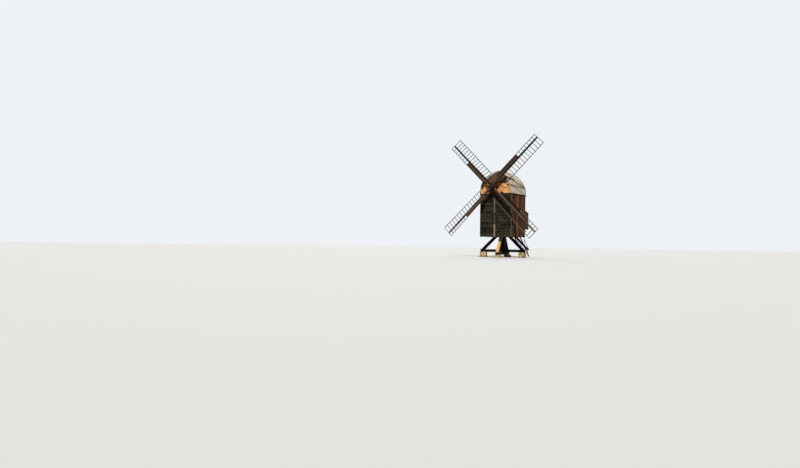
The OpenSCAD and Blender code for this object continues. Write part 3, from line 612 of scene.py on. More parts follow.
frame_colours = ((52, 41, 31), (92, 74, 57), (104, 86, 68), (24, 18, 13))
dress(wood("frame oak upright", *frame_colours, along="Z"), "wall_posts", "roof_arches")
dress(wood("frame oak along", *frame_colours, along="Y"), "side_girts")
dress(wood("frame oak across", *frame_colours, along="X"), "crown_tree", "top_plates", "breast_beam",
    "tail_beam")
dress(wood("floor pine", (86, 66, 48), (138, 112, 84), (120, 100, 80), (40, 28, 20), along="X",
    plank_axis="Y", plank_width=0.24), "lower_floor", "upper_floor")


# Front walls
# The weather side is boarded and clad in small riven oak shingles, laid in courses and nearly black with
# age. Three short rows are missing beside the centre board, and one course on the left has been patched in
# paler wood.
left_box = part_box("front_wall_left")
right_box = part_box("front_wall_right")
half_width = right_box[1].x - post.x
half_depth = post.y - right_box[0].y
boards_low = right_box[0].z
eaves = right_box[1].z
front_pitch = 0.1
front_exposure = 0.155
front_thick = 0.01
edge_board_depth = 0.13
front_height = eaves - boards_low - edge_board_depth
patched_course = 6.42 - boards_low
patch_stop = 0.5
patch_tone = 1.5
missing_from = 0.23
missing_to = 0.72
missing_heights = (6.13, 5.25, 4.68)
missing_below = 0.08
missing_above = 0.07


def geometry_tree(name, *numbers):
    """An empty tree of geometry nodes that takes a mesh, some numbers and a finish, and what it is given."""
    tree = bpy.data.node_groups.new(name, "GeometryNodeTree")
    add_sockets(tree, "INPUT", "Geometry", "Geometry")
    add_sockets(tree, "INPUT", "Float", *numbers)
    add_sockets(tree, "INPUT", "Material", "Finish")
    add_sockets(tree, "OUTPUT", "Geometry", "Geometry")
    return tree, add_node(tree, "NodeGroupInput").outputs


def end_tree(tree, geometry, finish):
    """Gives the shapes that a tree has made their finish and puts them out."""
    finished = add_node(tree, "GeometryNodeSetMaterial", {"Geometry": geometry, "Material": finish})
    feed(tree, add_node(tree, "NodeGroupOutput"), {0: finished.outputs[0]})


def shingle_courses():
    """Nodes that grow courses of riven shingles: X runs along a course, Y up the slope and Z out of it."""
    tree, given = geometry_tree("shingle courses", "Field Width", "Field Height", "Shingle Width",
        "Exposure", "Thickness", "Lift", "Wander", "Seed")
    width, exposure = given["Shingle Width"], given["Exposure"]

    def times(first, second):
        """A product."""
        return calc(tree, "MULTIPLY", first, second)

    def plus(first, second):
        """A sum."""
        return calc(tree, "ADD", first, second)

    def steps(length, step):
        """How many whole steps are in a length."""
        return calc(tree, "ROUND", calc(tree, "DIVIDE", length, step))

    def xyz(**parts):
        """A vector from its parts."""
        return add_node(tree, "ShaderNodeCombineXYZ", parts).outputs[0]

    def grow(kind, inputs, **settings):
        """One step that makes or changes shapes."""
        return add_node(tree, "GeometryNode" + kind, inputs, **settings).outputs[0]

    identity = plus(grow("InputIndex", {}), times(given["Seed"], 7919))

    def any_between(low, high, seed):
        """A number that is different for each shingle."""
        return add_node(tree, "FunctionNodeRandomValue", {2: low, 3: high, 7: identity, 8: seed},
            data_type="FLOAT").outputs[1]

    reach = times(calc(tree, "SUBTRACT", steps(given["Field Height"], exposure), 1), exposure)
    grid = grow("MeshGrid", {"Size X": given["Field Width"], "Size Y": reach,
        "Vertices X": plus(steps(given["Field Width"], width), 1),
        "Vertices Y": steps(given["Field Height"], exposure)})
    field = grow("Transform", {"Geometry": grid,
        "Translation": xyz(X=times(given["Field Width"], 0.5), Y=times(reach, 0.5), Z=given["Lift"])})
    place = grow("InputPosition", {})
    parts = add_node(tree, "ShaderNodeSeparateXYZ", {0: place}).outputs
    odd = calc(tree, "MODULO", steps(parts["Y"], exposure), 2)
    shift = times(plus(times(odd, 0.5), any_between(-0.2, 0.2, 1)), width)
    wave = add_node(tree, "ShaderNodeTexNoise", {"Vector": place, "W": given["Seed"], "Scale": 0.7,
        "Detail": 1}, noise_dimensions="4D").outputs[0]
    stray = times(calc(tree, "SUBTRACT", wave, 0.5), given["Wander"])
    laid = grow("SetPosition", {"Geometry": field,
        "Offset": xyz(X=shift, Y=plus(stray, any_between(-0.006, 0.006, 2)))})
    block = grow("MeshCube", {"Size": xyz(X=times(width, 0.96), Y=times(exposure, 2.2),
        Z=given["Thickness"])})
    shingle = grow("Transform", {"Geometry": block, "Translation": xyz(Y=times(exposure, 1.1))})
    slope = calc(tree, "ARCTANGENT", calc(tree, "DIVIDE", given["Thickness"], exposure))
    angles = xyz(X=calc(tree, "SUBTRACT", any_between(-0.012, 0.012, 3), slope),
        Z=any_between(-0.02, 0.02, 4))
    turned_by = add_node(tree, "FunctionNodeEulerToRotation", {0: angles}).outputs[0]
    sizes = xyz(X=any_between(0.82, 1, 5), Y=any_between(0.96, 1.03, 6), Z=1)
    kept = calc(tree, "GREATER_THAN", any_between(0, 1, 7), 0.004)
    spread = grow("InstanceOnPoints", {"Points": laid, "Selection": kept, "Instance": shingle,
        "Rotation": turned_by, "Scale": sizes})
    toned = grow("StoreNamedAttribute", {"Geometry": spread, "Name": "tone",
        "Value": any_between(0, 1, 8)}, data_type="FLOAT", domain="INSTANCE")
    grained = grow("StoreNamedAttribute", {"Geometry": grow("RealizeInstances", {0: toned}),
        "Name": "grain", "Value": xyz(X=parts["Y"], Y=parts["X"])}, data_type="FLOAT2", domain="CORNER")
    end_tree(tree, grained, given["Finish"])
    return tree


shingle_tree = shingle_courses()


def grown(tree, values, base=None):
    """Runs a tree of geometry nodes on a mesh and gives its result back as a plain mesh."""
    carrier = bpy.data.objects.new("carrier", base or bpy.data.meshes.new("carrier"))
    bpy.context.scene.collection.objects.link(carrier)
    modifier = carrier.modifiers.new("grow", "NODES")
    modifier.node_group = tree
    for item in tree.interface.items_tree:
        if item.in_out == "INPUT" and item.name in values:
            modifier[item.identifier] = values[item.name]
    graph = bpy.context.evaluated_depsgraph_get()
    mesh = bpy.data.meshes.new_from_object(carrier.evaluated_get(graph), preserve_all_data_layers=True,
        depsgraph=graph)
    bpy.data.objects.remove(carrier)
    bm = bmesh.new()
    bm.from_mesh(mesh)
    bpy.data.meshes.remove(mesh)
    return bm


def shingled(name, finish, slot, field, pitch, exposure, thickness, lift, wander, seed, lay, trim, change,
        slit=()):
    """A field of shingles as a piece. lay puts a place of the flat field on the mill, trim gives how far a
    course may run at a height, change may repaint a shingle, and slit lists where shingles are missing."""
    bm = grown(shingle_tree, {"Field Width": field[0], "Field Height": field[1], "Shingle Width": pitch,
        "Exposure": exposure, "Thickness": thickness, "Lift": lift, "Wander": wander, "Seed": seed,
        "Finish": finish})
    bm.verts.ensure_lookup_table()
    tone_layer = bm.verts.layers.float["tone"]
    lost = []
    for first in range(0, len(bm.verts), 8):
        corners = bm.verts[first:first + 8]
        middle = sum((c.co for c in corners), Vector()) / 8
        low, high = trim(middle.y)
        for c in corners:
            c.co.x = max(low, min(high, c.co.x))
            c.co.y = min(c.co.y, field[1] + 0.04)
        width = max(c.co.x for c in corners) - min(c.co.x for c in corners)
        butt = min(c.co.y for c in corners)
        value = change(middle.x, butt)
        if width < 0.02 or any(a < middle.x < b and c < butt < d for a, b, c, d in slit):
            lost.extend(corners)
        elif value is not None:
            for c in corners:
                c[tone_layer] = value
    for vert in bm.verts:
        vert.co = lay(*vert.co)
    bmesh.ops.delete(bm, geom=lost, context="VERTS")
    place_piece(name, bm, finish, "mill_body", slot)


dark_shingle = wood("dark shingles", (15, 13, 9), (68, 62, 49), (66, 60, 48), (7, 6, 5), 0.75, 0.4)
dress(wood("dark boards", (22, 18, 14), (44, 36, 29), (50, 42, 34), (8, 6, 5), along="Z", plank_axis="X"),
    "front_wall_left", "front_wall_right")
for name, box, seed in (("left", left_box, 3), ("right", right_box, 4)):
    start = box[0].x - post.x
    width = box[1].x - box[0].x

    def on_front(x, y, z):
        """A place of the flat field on the front wall."""
        return Vector((start + x, -half_depth - z, boards_low - 0.02 + y))

    def patched(x, y):
        """The tone of a shingle: courses age unevenly, and one course on the left is a paler patch."""
        if name == "left" and abs(y - patched_course) < front_exposure / 2 and x < width - patch_stop:
            return patch_tone
        course = noise.noise(Vector((x * 0.25, round(y / front_exposure) * 0.83, start)))
        return 0.15 + 1.2 * course + 0.5 * noise.cell(Vector((x * 11, y * 7, 3)))

    holes = [(missing_from - start, missing_to - start, z - boards_low - missing_below,
        z - boards_low + missing_above) for z in missing_heights] if name == "right" else []
    shingled("front_shingles_" + name, dark_shingle, "dark_boards", (width, front_height), front_pitch,
        front_exposure, front_thick, 0.012, 0.02, seed, on_front, lambda y: (0.004, width - 0.004), patched,
        holes)


# Centre board
# A grey plank in three lengths, of which the lowest is the palest, runs between near-black strips and has a
# near-black cleat on its upper joint. It parts the two shingled fields and hides the front post.
centre_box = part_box("front_centre_board")
centre_left = centre_box[0].x - post.x
centre_right = centre_box[1].x - post.x
centre_front = centre_box[0].y - post.y
strip_front = centre_front + 0.012
strip = 0.045
board_joint = 6.49
lower_joint = 4.97
grey_board = wood("weathered grey board", (74, 59, 49), (150, 134, 118), (138, 124, 109), (38, 32, 27),
    0.85, 0.6)
# The strips' near-black colour gives the board its dark edges.
near_black_strip_wood = wood("near-black strips", (12, 9, 7), (30, 23, 18), (34, 27, 21), (5, 4, 3))
centre = new_piece()
strips = new_piece()
for low, high, shift, tone in ((boards_low - 0.04, lower_joint - 0.003, 0, 0.8),
        (lower_joint + 0.003, board_joint - 0.025, 0, -0.3),
        (board_joint + 0.025, eaves - 0.05, -0.012, 0.12)):
    for part, left, right, front, edge in ((strips, centre_left, centre_left + strip, strip_front, 0.003),
            (centre, centre_left + strip, centre_right - strip, centre_front, 0.008),
            (strips, centre_right - strip, centre_right, strip_front, 0.003)):
        hewn(part, [section("Z", z, (left + shift, -frame_y), (right + shift, front)) for z in (low, high)],
            edge, 0.003, 10, tone)
hewn(strips, [section("X", x, (centre_front + 0.03, board_joint - 0.09), (centre_front - 0.008,
    board_joint + 0.09)) for x in (centre_left + 0.02, centre_right - 0.02)], 0.004, 0.002, 3)
place_piece("centre_board_planks", centre, grey_board, "mill_body", "grey_board", "front_centre_board")
place_piece("centre_board_strips", strips, near_black_strip_wood, "mill_body", "dark_boards")


# Side walls
# Upright boards in two lengths that meet at the girt, brown and unevenly bleached, with a pale corner board
# at the front edge. A small hatch is cut through each side wall near the front and framed with laths.
hatch_start = 0.7
hatch_width = 0.45
hatch_height = 0.40
hatch_drop = 0.35
hatch_y = (-half_depth + hatch_start, -half_depth + hatch_start + hatch_width)
hatch_z = (eaves - hatch_drop - hatch_height, eaves - hatch_drop)
girt_joint = 6.5
lath = 0.06
trim_thick = 0.024
corner_width = 0.2
board_gap = 0.003
board_back = 0.004
side_brown = wood("side boards", (24, 13, 7), (119, 81, 52), (114, 82, 56), (12, 6, 4), 0.85, 0.55)
corner_pale = wood("corner board", (104, 82, 66), (148, 124, 104), (156, 134, 114), (44, 33, 25), 0.85, 0.55)
side_tones = (0.7, 0.5, 0.15, 0.3, 0.6, 0.2, 0.1, 0.35, 0.3, 0.75, 1.0, 0.95, 0.5, 0.1, 0.0, 0.15, 0.6,
    0.65, 0.45, 0.5, 0.2, 0.1)


def board_run(bm, place, start, stop, low, high, thickness=0.03, width=0.22, seed=1, ragged=0.0, tones=None):
    """Sawn boards side by side, with slanting edges that meet at the back, so that no daylight comes through.
    place puts a place on the mill from the distance along the wall, the height and the distance out of the
    wall. low and high are the heights of a board's ends, or give them at a distance along the wall."""
    chance = random.Random(seed)
    along = start
    number = 0
    while along < stop - 0.02:
        wide = min(width * chance.uniform(0.75, 1.3), stop - along)
        if stop - along - wide < 0.09:
            wide = stop - along
        left = along + board_gap
        right = along + wide - board_gap
        out = chance.uniform(0, 0.004)
        drop = chance.uniform(-ragged, ragged)
        tone = tones[number % len(tones)] if tones else chance.random()
        ends = []
        for end, move in ((low, drop), (high, 0)):
            at_left, at_right = ((end(x) if callable(end) else end) + move for x in (left, right))
            ends.append([place(max(left - board_back, start), at_left, out),
                place(min(right + board_back, stop), at_right, out), place(right, at_right, out + thickness),
                place(left, at_left, out + thickness)])
        hewn(bm, ends, 0.004, 0.003, 5, tone)
        along += wide
        number += 1


def on_side(side, face):
    """Gives the places on the right (1) or left (-1) wall, out from a distance to the middle line."""
    return lambda y, z, out: Vector((side * (face + out), y, z))


for name, side in (("right", 1), ("left", -1)):
    wall = new_piece()
    board_run(wall, on_side(side, frame_x), -frame_y, frame_y, boards_low, girt_joint, seed=11 + side,
        ragged=0.012, tones=[1.3 * tone - 0.33 for tone in side_tones[::-1]])
    for start, stop, low, high, seed, first_tone in ((-frame_y, hatch_y[0], girt_joint, eaves, 21, 0),
            (*hatch_y, girt_joint, hatch_z[0], 24, 3), (*hatch_y, hatch_z[1], eaves, 24, 3),
            (hatch_y[1], frame_y, girt_joint, eaves, 30, 5)):
        board_run(wall, on_side(side, frame_x), start, stop, low, high, seed=seed + side,
            tones=[1.4 * tone - 0.26 for tone in side_tones[first_tone:]])
    place_piece(name + "_wall_boards", wall, side_brown, "mill_body", "side_boards", name + "_wall")
    trim = new_piece()
    board_run(trim, on_side(side, half_width), -half_depth, -half_depth + corner_width,
        boards_low - 0.02, eaves - 0.12, trim_thick, 1)
    place_piece(name + "_corner_board", trim, corner_pale, "mill_body", "side_boards")
    laths = new_piece()
    for start, stop, low, high in ((hatch_y[0] - lath, hatch_y[0], hatch_z[0] - lath, hatch_z[1] + lath),
            (hatch_y[1], hatch_y[1] + lath, hatch_z[0] - lath, hatch_z[1] + lath),
            (*hatch_y, hatch_z[0] - lath, hatch_z[0]), (*hatch_y, hatch_z[1], hatch_z[1] + lath)):
        board_run(laths, on_side(side, half_width), start, stop, low, high, trim_thick, 1, tones=(0.1,))
    place_piece(name + "_hatch_laths", laths, side_brown, "mill_body", "side_boards")


# Rear wall and door
# The rear wall has the same upright boards round a plank door, which hangs on two strap hinges. Below the
# gallery the boards go on down, with a hole where the tail pole comes out.
floor_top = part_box("gallery_floor")[1].z
door_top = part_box("rear_door")[1].z + 0.004
pole_half = 0.135
pole_slope = math.radians(22)
pole_drop = 2 * pole_half / math.cos(pole_slope)
pole_gap = 0.02
door_face = frame_y + 0.034
hinge_heights = (0.35, 1.55)
handle_heights = (0.95, 1.15)
handle_inset = 0.1
handle_thick = 0.03


def pole_top(y):
    """The height of the tail pole's upper face at a distance behind the post."""
    return sill_low - (y - sheer_end) * math.tan(pole_slope)


def on_rear(x, z, out):
    """A place on the rear wall."""
    return Vector((x, frame_y + out, z))


rear_wall = new_piece()
hole = (pole_half + pole_gap, pole_top(half_depth) - pole_drop - pole_gap,
    pole_top(frame_y) + pole_gap)
for start, stop, low, high, seed in ((-half_width, -door_half, floor_top, eaves, 31),
        (-door_half, door_half, door_top, eaves, 32), (door_half, half_width, floor_top, eaves, 33),
        (-half_width, -hole[0], boards_low, sill_low, 35), (hole[0], half_width, boards_low, sill_low, 36),
        (-hole[0], hole[0], boards_low, hole[1], 37), (-hole[0], hole[0], hole[2], sill_low, 38)):
    board_run(rear_wall, on_rear, start, stop, low, high, seed=seed)
place_piece("rear_wall_boards", rear_wall, side_brown, "mill_body", "side_boards", "rear_wall")
door = new_piece()
board_run(door, on_rear, -door_half + 0.005, door_half - 0.005, floor_top + 0.006, door_top - 0.006,
    0.028, 0.18, seed=34)
place_piece("rear_door_planks", door, side_brown, "mill_body", "side_boards", "rear_door")
iron, tree, shader = new_material("old iron")
rust = cloud(tree, place_on(tree), 14, 5)
share = remap(tree, rust, 0.42, 0.62)
feed(tree, shader, {"Base Color": blend(tree, share, paint(38, 34, 32), paint(96, 60, 40)),
    "Metallic": remap(tree, share, 0, 1, 0.9, 0.1), "Roughness": 0.6,
    "Normal": bumped(tree, rust, 0.4, 0.002)})
ironwork = new_piece()
for z in (floor_top + height for height in hinge_heights):
    hewn(ironwork, [section("X", x, (door_face, z - wide), (door_face + 0.008, z + wide))
        for x, wide in ((-door_half + 0.01, 0.03), (door_half - 0.3, 0.012))], 0.002, 0, 2)
straight(ironwork, "Z", (door_half - handle_inset, door_face, floor_top + handle_heights[0]),
    (door_half - handle_inset + handle_thick, door_face + handle_thick, floor_top + handle_heights[1]),
    0.006, 0, 2)
place_piece("rear_door_iron", ironwork, iron, "mill_body", "side_boards")


# Front gable
# Wide sawn pine boards, still orange, are nailed over the upright part on both sides. The dark old boards
# round the windshaft and to its left are painted shade, where the hub throws its shadow. One new board is
# short and leaves a small hole, the leaning top is old and dark red-brown, and the near-black edge boards
# along the eaves and the foot of the leaning top are painted shadow.
roof_radius = 3.69
roof_inner = 3.59
roof_centre = 1.17
gable_upright = 1.6
ridge_rise = math.sqrt(roof_radius ** 2 - roof_centre ** 2)
gable_set_back = 1.1
lean = math.atan(gable_set_back / (ridge_rise - gable_upright))
shaft_tilt = math.radians(6)
hub_reach = 1.12
hub_rise = 0.9
hub = Vector((0, -half_depth - hub_reach, eaves + hub_rise))
neck_height = hub.z - (hub_reach + 0.015) * math.tan(shaft_tilt) - eaves
arch_foot = roof_inner - roof_centre
lean_half = math.sqrt(roof_inner ** 2 - gable_upright ** 2) - roof_centre
hole_half = 0.29
short_board = (0.78, 0.94)
short_board_hole = (0.08, 0.25)
# Painted shade: the dark old boards start here and run past the windshaft, where the hub throws its shadow.
shade_painted_from = -1.2


def arch_height(x, radius=roof_inner):
    """The height above the eaves of the pointed arch at a distance from the middle line."""
    return math.sqrt(max(0, radius ** 2 - (abs(x) + roof_centre) ** 2))


def on_gable(x, z, out):
    """A place on the upright gable."""
    return Vector((x, -frame_y - out, eaves + z))


def on_lean(x, slope, out):
    """A place on the leaning gable top, by the distance up its slope."""
    return Vector((x, -frame_y + slope * math.sin(lean) - out * math.cos(lean),
        eaves + gable_upright + slope * math.cos(lean) + out * math.sin(lean)))


def gable_top(x):
    """The height where the upright gable's boards end: under the arch, or where the leaning top starts."""
    return min(gable_upright, arch_height(x))


new_board = wood("new gable boards", (206, 132, 75), (240, 177, 110), (240, 190, 130), (138, 84, 44), 0.7,
    0.3)
old_board = wood("old gable boards", (58, 34, 26), (120, 80, 66), (124, 94, 80), (26, 14, 10), 0.85, 0.5)
# Painted shadow: the near-black edge boards give the dark line along the gable's eaves and along the foot of
# the leaning top.
edge_painted_shadow = wood("gable edge boards painted shadow", (26, 12, 8), (58, 32, 22), (60, 40, 30), (8, 4, 3))
upright = new_piece()
shade_painted_planks = new_piece()
for planks, start, stop, low, high, seed in (
        (upright, -arch_foot + 0.02, shade_painted_from, 0, gable_top, 41),
        (shade_painted_planks, shade_painted_from, -hole_half, 0, gable_top, 49),
        (shade_painted_planks, -hole_half, hole_half, 0, neck_height - hole_half, 42),
        (shade_painted_planks, -hole_half, hole_half, neck_height + hole_half, gable_top, 43),
        (upright, hole_half, short_board[0], 0, gable_top, 44),
        (upright, *short_board, short_board_hole[1], gable_top, 45),
        (upright, *short_board, 0, short_board_hole[0], 46),
        (upright, short_board[1], arch_foot - 0.02, 0, gable_top, 47)):
    board_run(planks, on_gable, start, stop, low, high, 0.03, 0.24, seed=seed)
place_piece("gable_new_planks", upright, new_board, "mill_body", "new_boards", "gable_new_boards")
place_piece("gable_middle_planks", shade_painted_planks, old_board, "mill_body", "old_boards")
leaning = new_piece()
board_run(leaning, on_lean, -lean_half, lean_half, 0,
    lambda x: max(0.02, (arch_height(x) - gable_upright) / math.cos(lean)), 0.03, 0.2, seed=48)
place_piece("gable_old_planks", leaning, old_board, "mill_body", "old_boards", "gable_old_boards")
sill_board = new_piece()
for reach, back, front, low, high, steps in (
        (half_width, -half_depth + 0.03, -half_depth + 0.03 - 0.075, eaves - edge_board_depth, eaves, 14),
        (lean_half, -half_depth, -half_depth - 0.03, eaves + gable_upright - 0.07,
            eaves + gable_upright + 0.03, 10)):
    hewn(sill_board, [section("X", x, (back, low), (front, high)) for x in (-reach, reach)], 0.006, 0.004,
        steps)
place_piece("gable_edge_boards", sill_board, edge_painted_shadow, "mill_body", "old_boards")


# Rear gable
# Upright brown boards fill the pointed arch behind, down to the eaves. They are nailed on like the side
# walls' boards.
rear_gable = new_piece()
board_run(rear_gable, lambda x, z, out: on_rear(x, eaves + z, out), -arch_foot + 0.02, arch_foot - 0.02, 0,
    arch_height, seed=51)
place_piece("rear_gable_boards", rear_gable, side_brown, "mill_body", "side_boards", "rear_gable")


# Roof
# Two curved sides meet at the ridge. Riven oak shingles, silvered and pale, lie in courses on boards. A
# thicker doubled course runs across each side 1.3 m above the eaves. The courses below it are painted paler,
# as painted light, with a painted shadow line just under it. Pale verge boards follow the edges of the shell,
# near-black boards below the eaves close it as painted shadow, and two planks cap the ridge.
overhang = 0.12
verge_front = -half_depth - overhang
arc_top = math.acos(roof_centre / roof_radius)
roof_pitch = 0.13
roof_exposure = 0.19
roof_thick = 0.012
doubled_course = 1.33
doubled_lift = 0.028
verge_depth = 0.15
verge_proud = 0.05
verge_thick = 0.03
verge_steps = 24
cap_width = 0.19
roof_pale = wood("roof shingles", (172, 154, 132), (232, 217, 197), (234, 221, 204), (96, 82, 68), 0.85, 0.5)
dress(wood("roof boards", (96, 84, 72), (140, 126, 110), (150, 136, 120), (40, 34, 28), along="Y",
    plank_axis="Z"), "roof_left", "roof_right")


def verge_y(rise):
    """How far forward the roof shell reaches at a height above the eaves."""
    if rise < gable_upright:
        return verge_front
    leaning_edge = -half_depth + (rise - gable_upright) * math.tan(lean) - overhang / math.cos(lean)
    return max(verge_front, leaning_edge)


for side, name in ((1, "right"), (-1, "left")):
    for part, low, high, lift, seed in (("lower", -0.03, doubled_course, 0, 61),
            ("upper", doubled_course - 0.02, roof_radius * arc_top - 0.12, doubled_lift, 65)):

        def on_roof(x, y, z):
            """A place of the flat field on this curved roof side."""
            angle = (low + y) / roof_radius
            reach = roof_radius + z
            return Vector((side * (reach * math.cos(angle) - roof_centre), x - overhang - half_depth,
                eaves + reach * math.sin(angle)))

        def inside_verges(y):
            """How far a course may run along the roof at a distance up its slope."""
            rise = roof_radius * math.sin((low + y) / roof_radius)
            return verge_y(rise) + half_depth + overhang, 2 * half_depth + overhang + overhang

        def painted_roof_light(x, y):
            """The tone of a shingle: painted light, paler low down, and a painted shadow line under the
            doubled course.
            """
            if lift:
                return None
            # Painted shadow: the courses just under the doubled course are darkened.
            if y > high - low - 2.4 * roof_exposure:
                return -0.5
            # Painted light: the lower courses are paler.
            return 0.7 + 0.4 * noise.cell(Vector((x * 11, y * 7, side)))

        shingled("roof_shingles_" + name + "_" + part, roof_pale, "roof_shingles",
            (2 * half_depth + 2 * overhang, high - low), roof_pitch, roof_exposure, roof_thick, 0.012 + lift,
            0.07, seed + side, on_roof, inside_verges, painted_roof_light)

verge_pale = wood("verge boards", (150, 138, 124), (204, 194, 180), (210, 200, 188), (80, 70, 60), 0.85, 0.5)
# Painted shadow: the near-black boards along the eaves give the dark line under the roof's edge.
eaves_painted_shadow = wood("eaves boards painted shadow", (8, 6, 4), (20, 15, 12), (26, 20, 16), (4, 3, 2))
verges = new_piece()
eaves_boards = new_piece()
cap = new_piece()
for side in (1, -1):
    for at_front in (True, False):
        rows = []
        for angle in (arc_top * step / verge_steps for step in range(verge_steps + 1)):
            y = verge_y(roof_radius * math.sin(angle)) - 0.03 if at_front else half_depth + overhang
            rows.append([Vector((side * (radius * math.cos(angle) - roof_centre), y + step,
                eaves + radius * math.sin(angle))) for radius, step in ((roof_radius + verge_proud, 0),
                (roof_radius - verge_depth, 0), (roof_radius - verge_depth, verge_thick),
                (roof_radius + verge_proud, verge_thick))])
        hewn(verges, rows, 0.004, 0.003, 1)
    hewn(eaves_boards, [[Vector((side * (half_width + out), y, eaves + h))
        for out, h in ((0, -0.2), (0.035, -0.2), (0.05, 0.01), (0, 0.01))]
        for y in (-half_depth - 0.05, half_depth + 0.1)], 0.004, 0.006, 16)
    hewn(cap, [[Vector((side * x, y, eaves + (arch_height(x, roof_radius) + out * 1.06)))
        for x, out in ((0, 0.02), (cap_width, 0.02), (cap_width, 0.045), (0, 0.045))]
        for y in (verge_y(ridge_rise) - 0.02, half_depth + overhang + 0.02)], 0.004, 0.006, 14)
place_piece("verge_boards", verges, verge_pale, "mill_body", "roof_shingles")
place_piece("eaves_boards", eaves_boards, eaves_painted_shadow, "mill_body", "side_boards")
place_piece("ridge_cap_planks", cap, verge_pale, "mill_body", "roof_shingles", "ridge_cap")


# Gallery
# A small boarded gallery hangs behind the door on beams under its floor. Its sides and the apron over the
# stair are upright boards, its posts and rails are squared timbers, and a dark boarded roof slopes away
# from the wall.
gallery_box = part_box("gallery_floor")
gallery_end = gallery_box[1].y - post.y
gallery_low = gallery_box[0].z
gallery_roof_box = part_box("gallery_roof")
gallery_high = gallery_roof_box[1].z - 0.06
gallery_drop = 0.45
gallery_reach = gallery_roof_box[1].y - post.y - half_depth
roof_half = (gallery_roof_box[1].x - gallery_roof_box[0].x) / 2
roof_boards = 8
slope = math.atan(gallery_drop / gallery_reach)
slope_length = math.hypot(gallery_drop, gallery_reach)
rail_top = floor_top + 1.0
rail_low = rail_top - 0.1
apron_low = floor_top + 1.8
gallery_post = 0.12
gallery_beam = 0.2
post_back = gallery_end - gallery_post
apron_face = gallery_end - 0.03
stair_half = 0.44
string_thick = 0.06


def under_roof(y):
    """The height of the gallery roof's underside at a distance behind the post."""
    return gallery_high - (y - half_depth) / gallery_reach * gallery_drop


def on_slope(distance, out):
    """A place on the gallery roof by the distance down its slope."""
    return (half_depth + distance * math.cos(slope) + out * math.sin(slope),
        gallery_high - distance * math.sin(slope) + out * math.cos(slope))


floor_wood = wood("gallery floor", (84, 66, 50), (134, 112, 88), (140, 120, 98), (40, 30, 22))
frame_timber = wood("gallery timbers", (40, 31, 24), (84, 68, 54), (98, 82, 66), (16, 12, 9))
roof_dark = wood("gallery roof boards", (46, 42, 40), (92, 86, 82), (96, 90, 86), (18, 16, 15))
gallery_floor = new_piece()
board_run(gallery_floor, lambda x, y, out: Vector((x, y, gallery_low + out)), -half_width, half_width,
    frame_y, gallery_end, 0.036, 0.2, seed=71)
place_piece("gallery_floor_boards", gallery_floor, floor_wood, "mill_body", "floor_boards", "gallery_floor")
gallery_frame = new_piece()
for side in (1, -1):
    for x in (sheer_inner, frame_x - gallery_beam):
        straight(gallery_frame, "Y", (side * x, frame_y, sill_low),
            (side * (x + gallery_beam), post_back, gallery_low), 0.012, 0.004, 4)
    for x in (frame_x - gallery_post, stair_half + string_thick):
        inner, outer = sorted((side * x, side * (x + gallery_post)))
        hewn(gallery_frame, [[Vector((px, py, z or under_roof(py))) for px, py in ((inner, post_back),
            (outer, post_back), (outer, apron_face), (inner, apron_face))] for z in (floor_top, None)],
            0.01, 0.003, 6)
    straight(gallery_frame, "X", (side * (stair_half + string_thick + gallery_post), post_back, rail_low),
        (side * (frame_x - gallery_post), apron_face, rail_top), 0.008, 0.003, 4)
    straight(gallery_frame, "Y", (side * (frame_x - gallery_post), half_depth, rail_low),
        (side * frame_x, post_back, rail_top), 0.008, 0.003, 4)
straight(gallery_frame, "X", (-half_width, post_back, sill_low), (half_width, gallery_end, gallery_low),
    0.012, 0.004, 8)
place_piece("gallery_timbers", gallery_frame, frame_timber, "mill_body", "frame_timber", "gallery_frame")
gallery_boards = new_piece()
for side in (1, -1):
    board_run(gallery_boards, on_side(side, frame_x), half_depth, gallery_end, floor_top, under_roof,
        0.03, 0.2, seed=72 + side)
board_run(gallery_boards, lambda x, z, out: Vector((x, apron_face + out, z)), -frame_x, frame_x,
    apron_low, under_roof(gallery_end), 0.03, 0.2, seed=75, ragged=0.01)
place_piece("gallery_side_boards", gallery_boards, side_brown, "mill_body", "side_boards", "gallery_boards")
gallery_roof = new_piece()
for row in range(roof_boards):
    start = slope_length * row / roof_boards
    stop = slope_length * (row + 1) / roof_boards + 0.03
    corners = [on_slope(min(d, slope_length), out) for d, out in ((start, 0.004), (stop, 0.022), (stop, 0.05),
        (start, 0.032))]
    hewn(gallery_roof, [[Vector((x, y, z)) for y, z in corners] for x in (-roof_half, roof_half)], 0.004,
        0.005, 12)
place_piece("gallery_roof_boards", gallery_roof, roof_dark, "mill_body", "gallery_roofing", "gallery_roof")


# Stair
# A long open stair hangs from the gallery: two plank strings, twenty treads let in between them, and a
# handrail on short posts at each side. The middle treads are cut away where the tail pole passes through.
stair_reach = 5.4
stair_gap = 0.06
stair_fall = (gallery_low - stair_gap) / stair_reach
stair_lean = math.atan(stair_fall)
string_depth = 0.24
string_top = gallery_low + 0.04
string_low = string_top - string_depth / math.cos(stair_lean)
foot_y = [gallery_end + (top - stair_gap) / stair_fall for top in (string_low, string_top)]
tread_count = 20
tread_thick = 0.04
tread_front = 0.092
tread_back = 0.138
rail_ends = (gallery_end + 0.01, gallery_end + stair_reach - 0.35)
rail_height = 0.89
rail_depth = 0.07
rail_post_half = 0.035
rail_post_places = (0.05, 0.31, 0.58, 0.84)

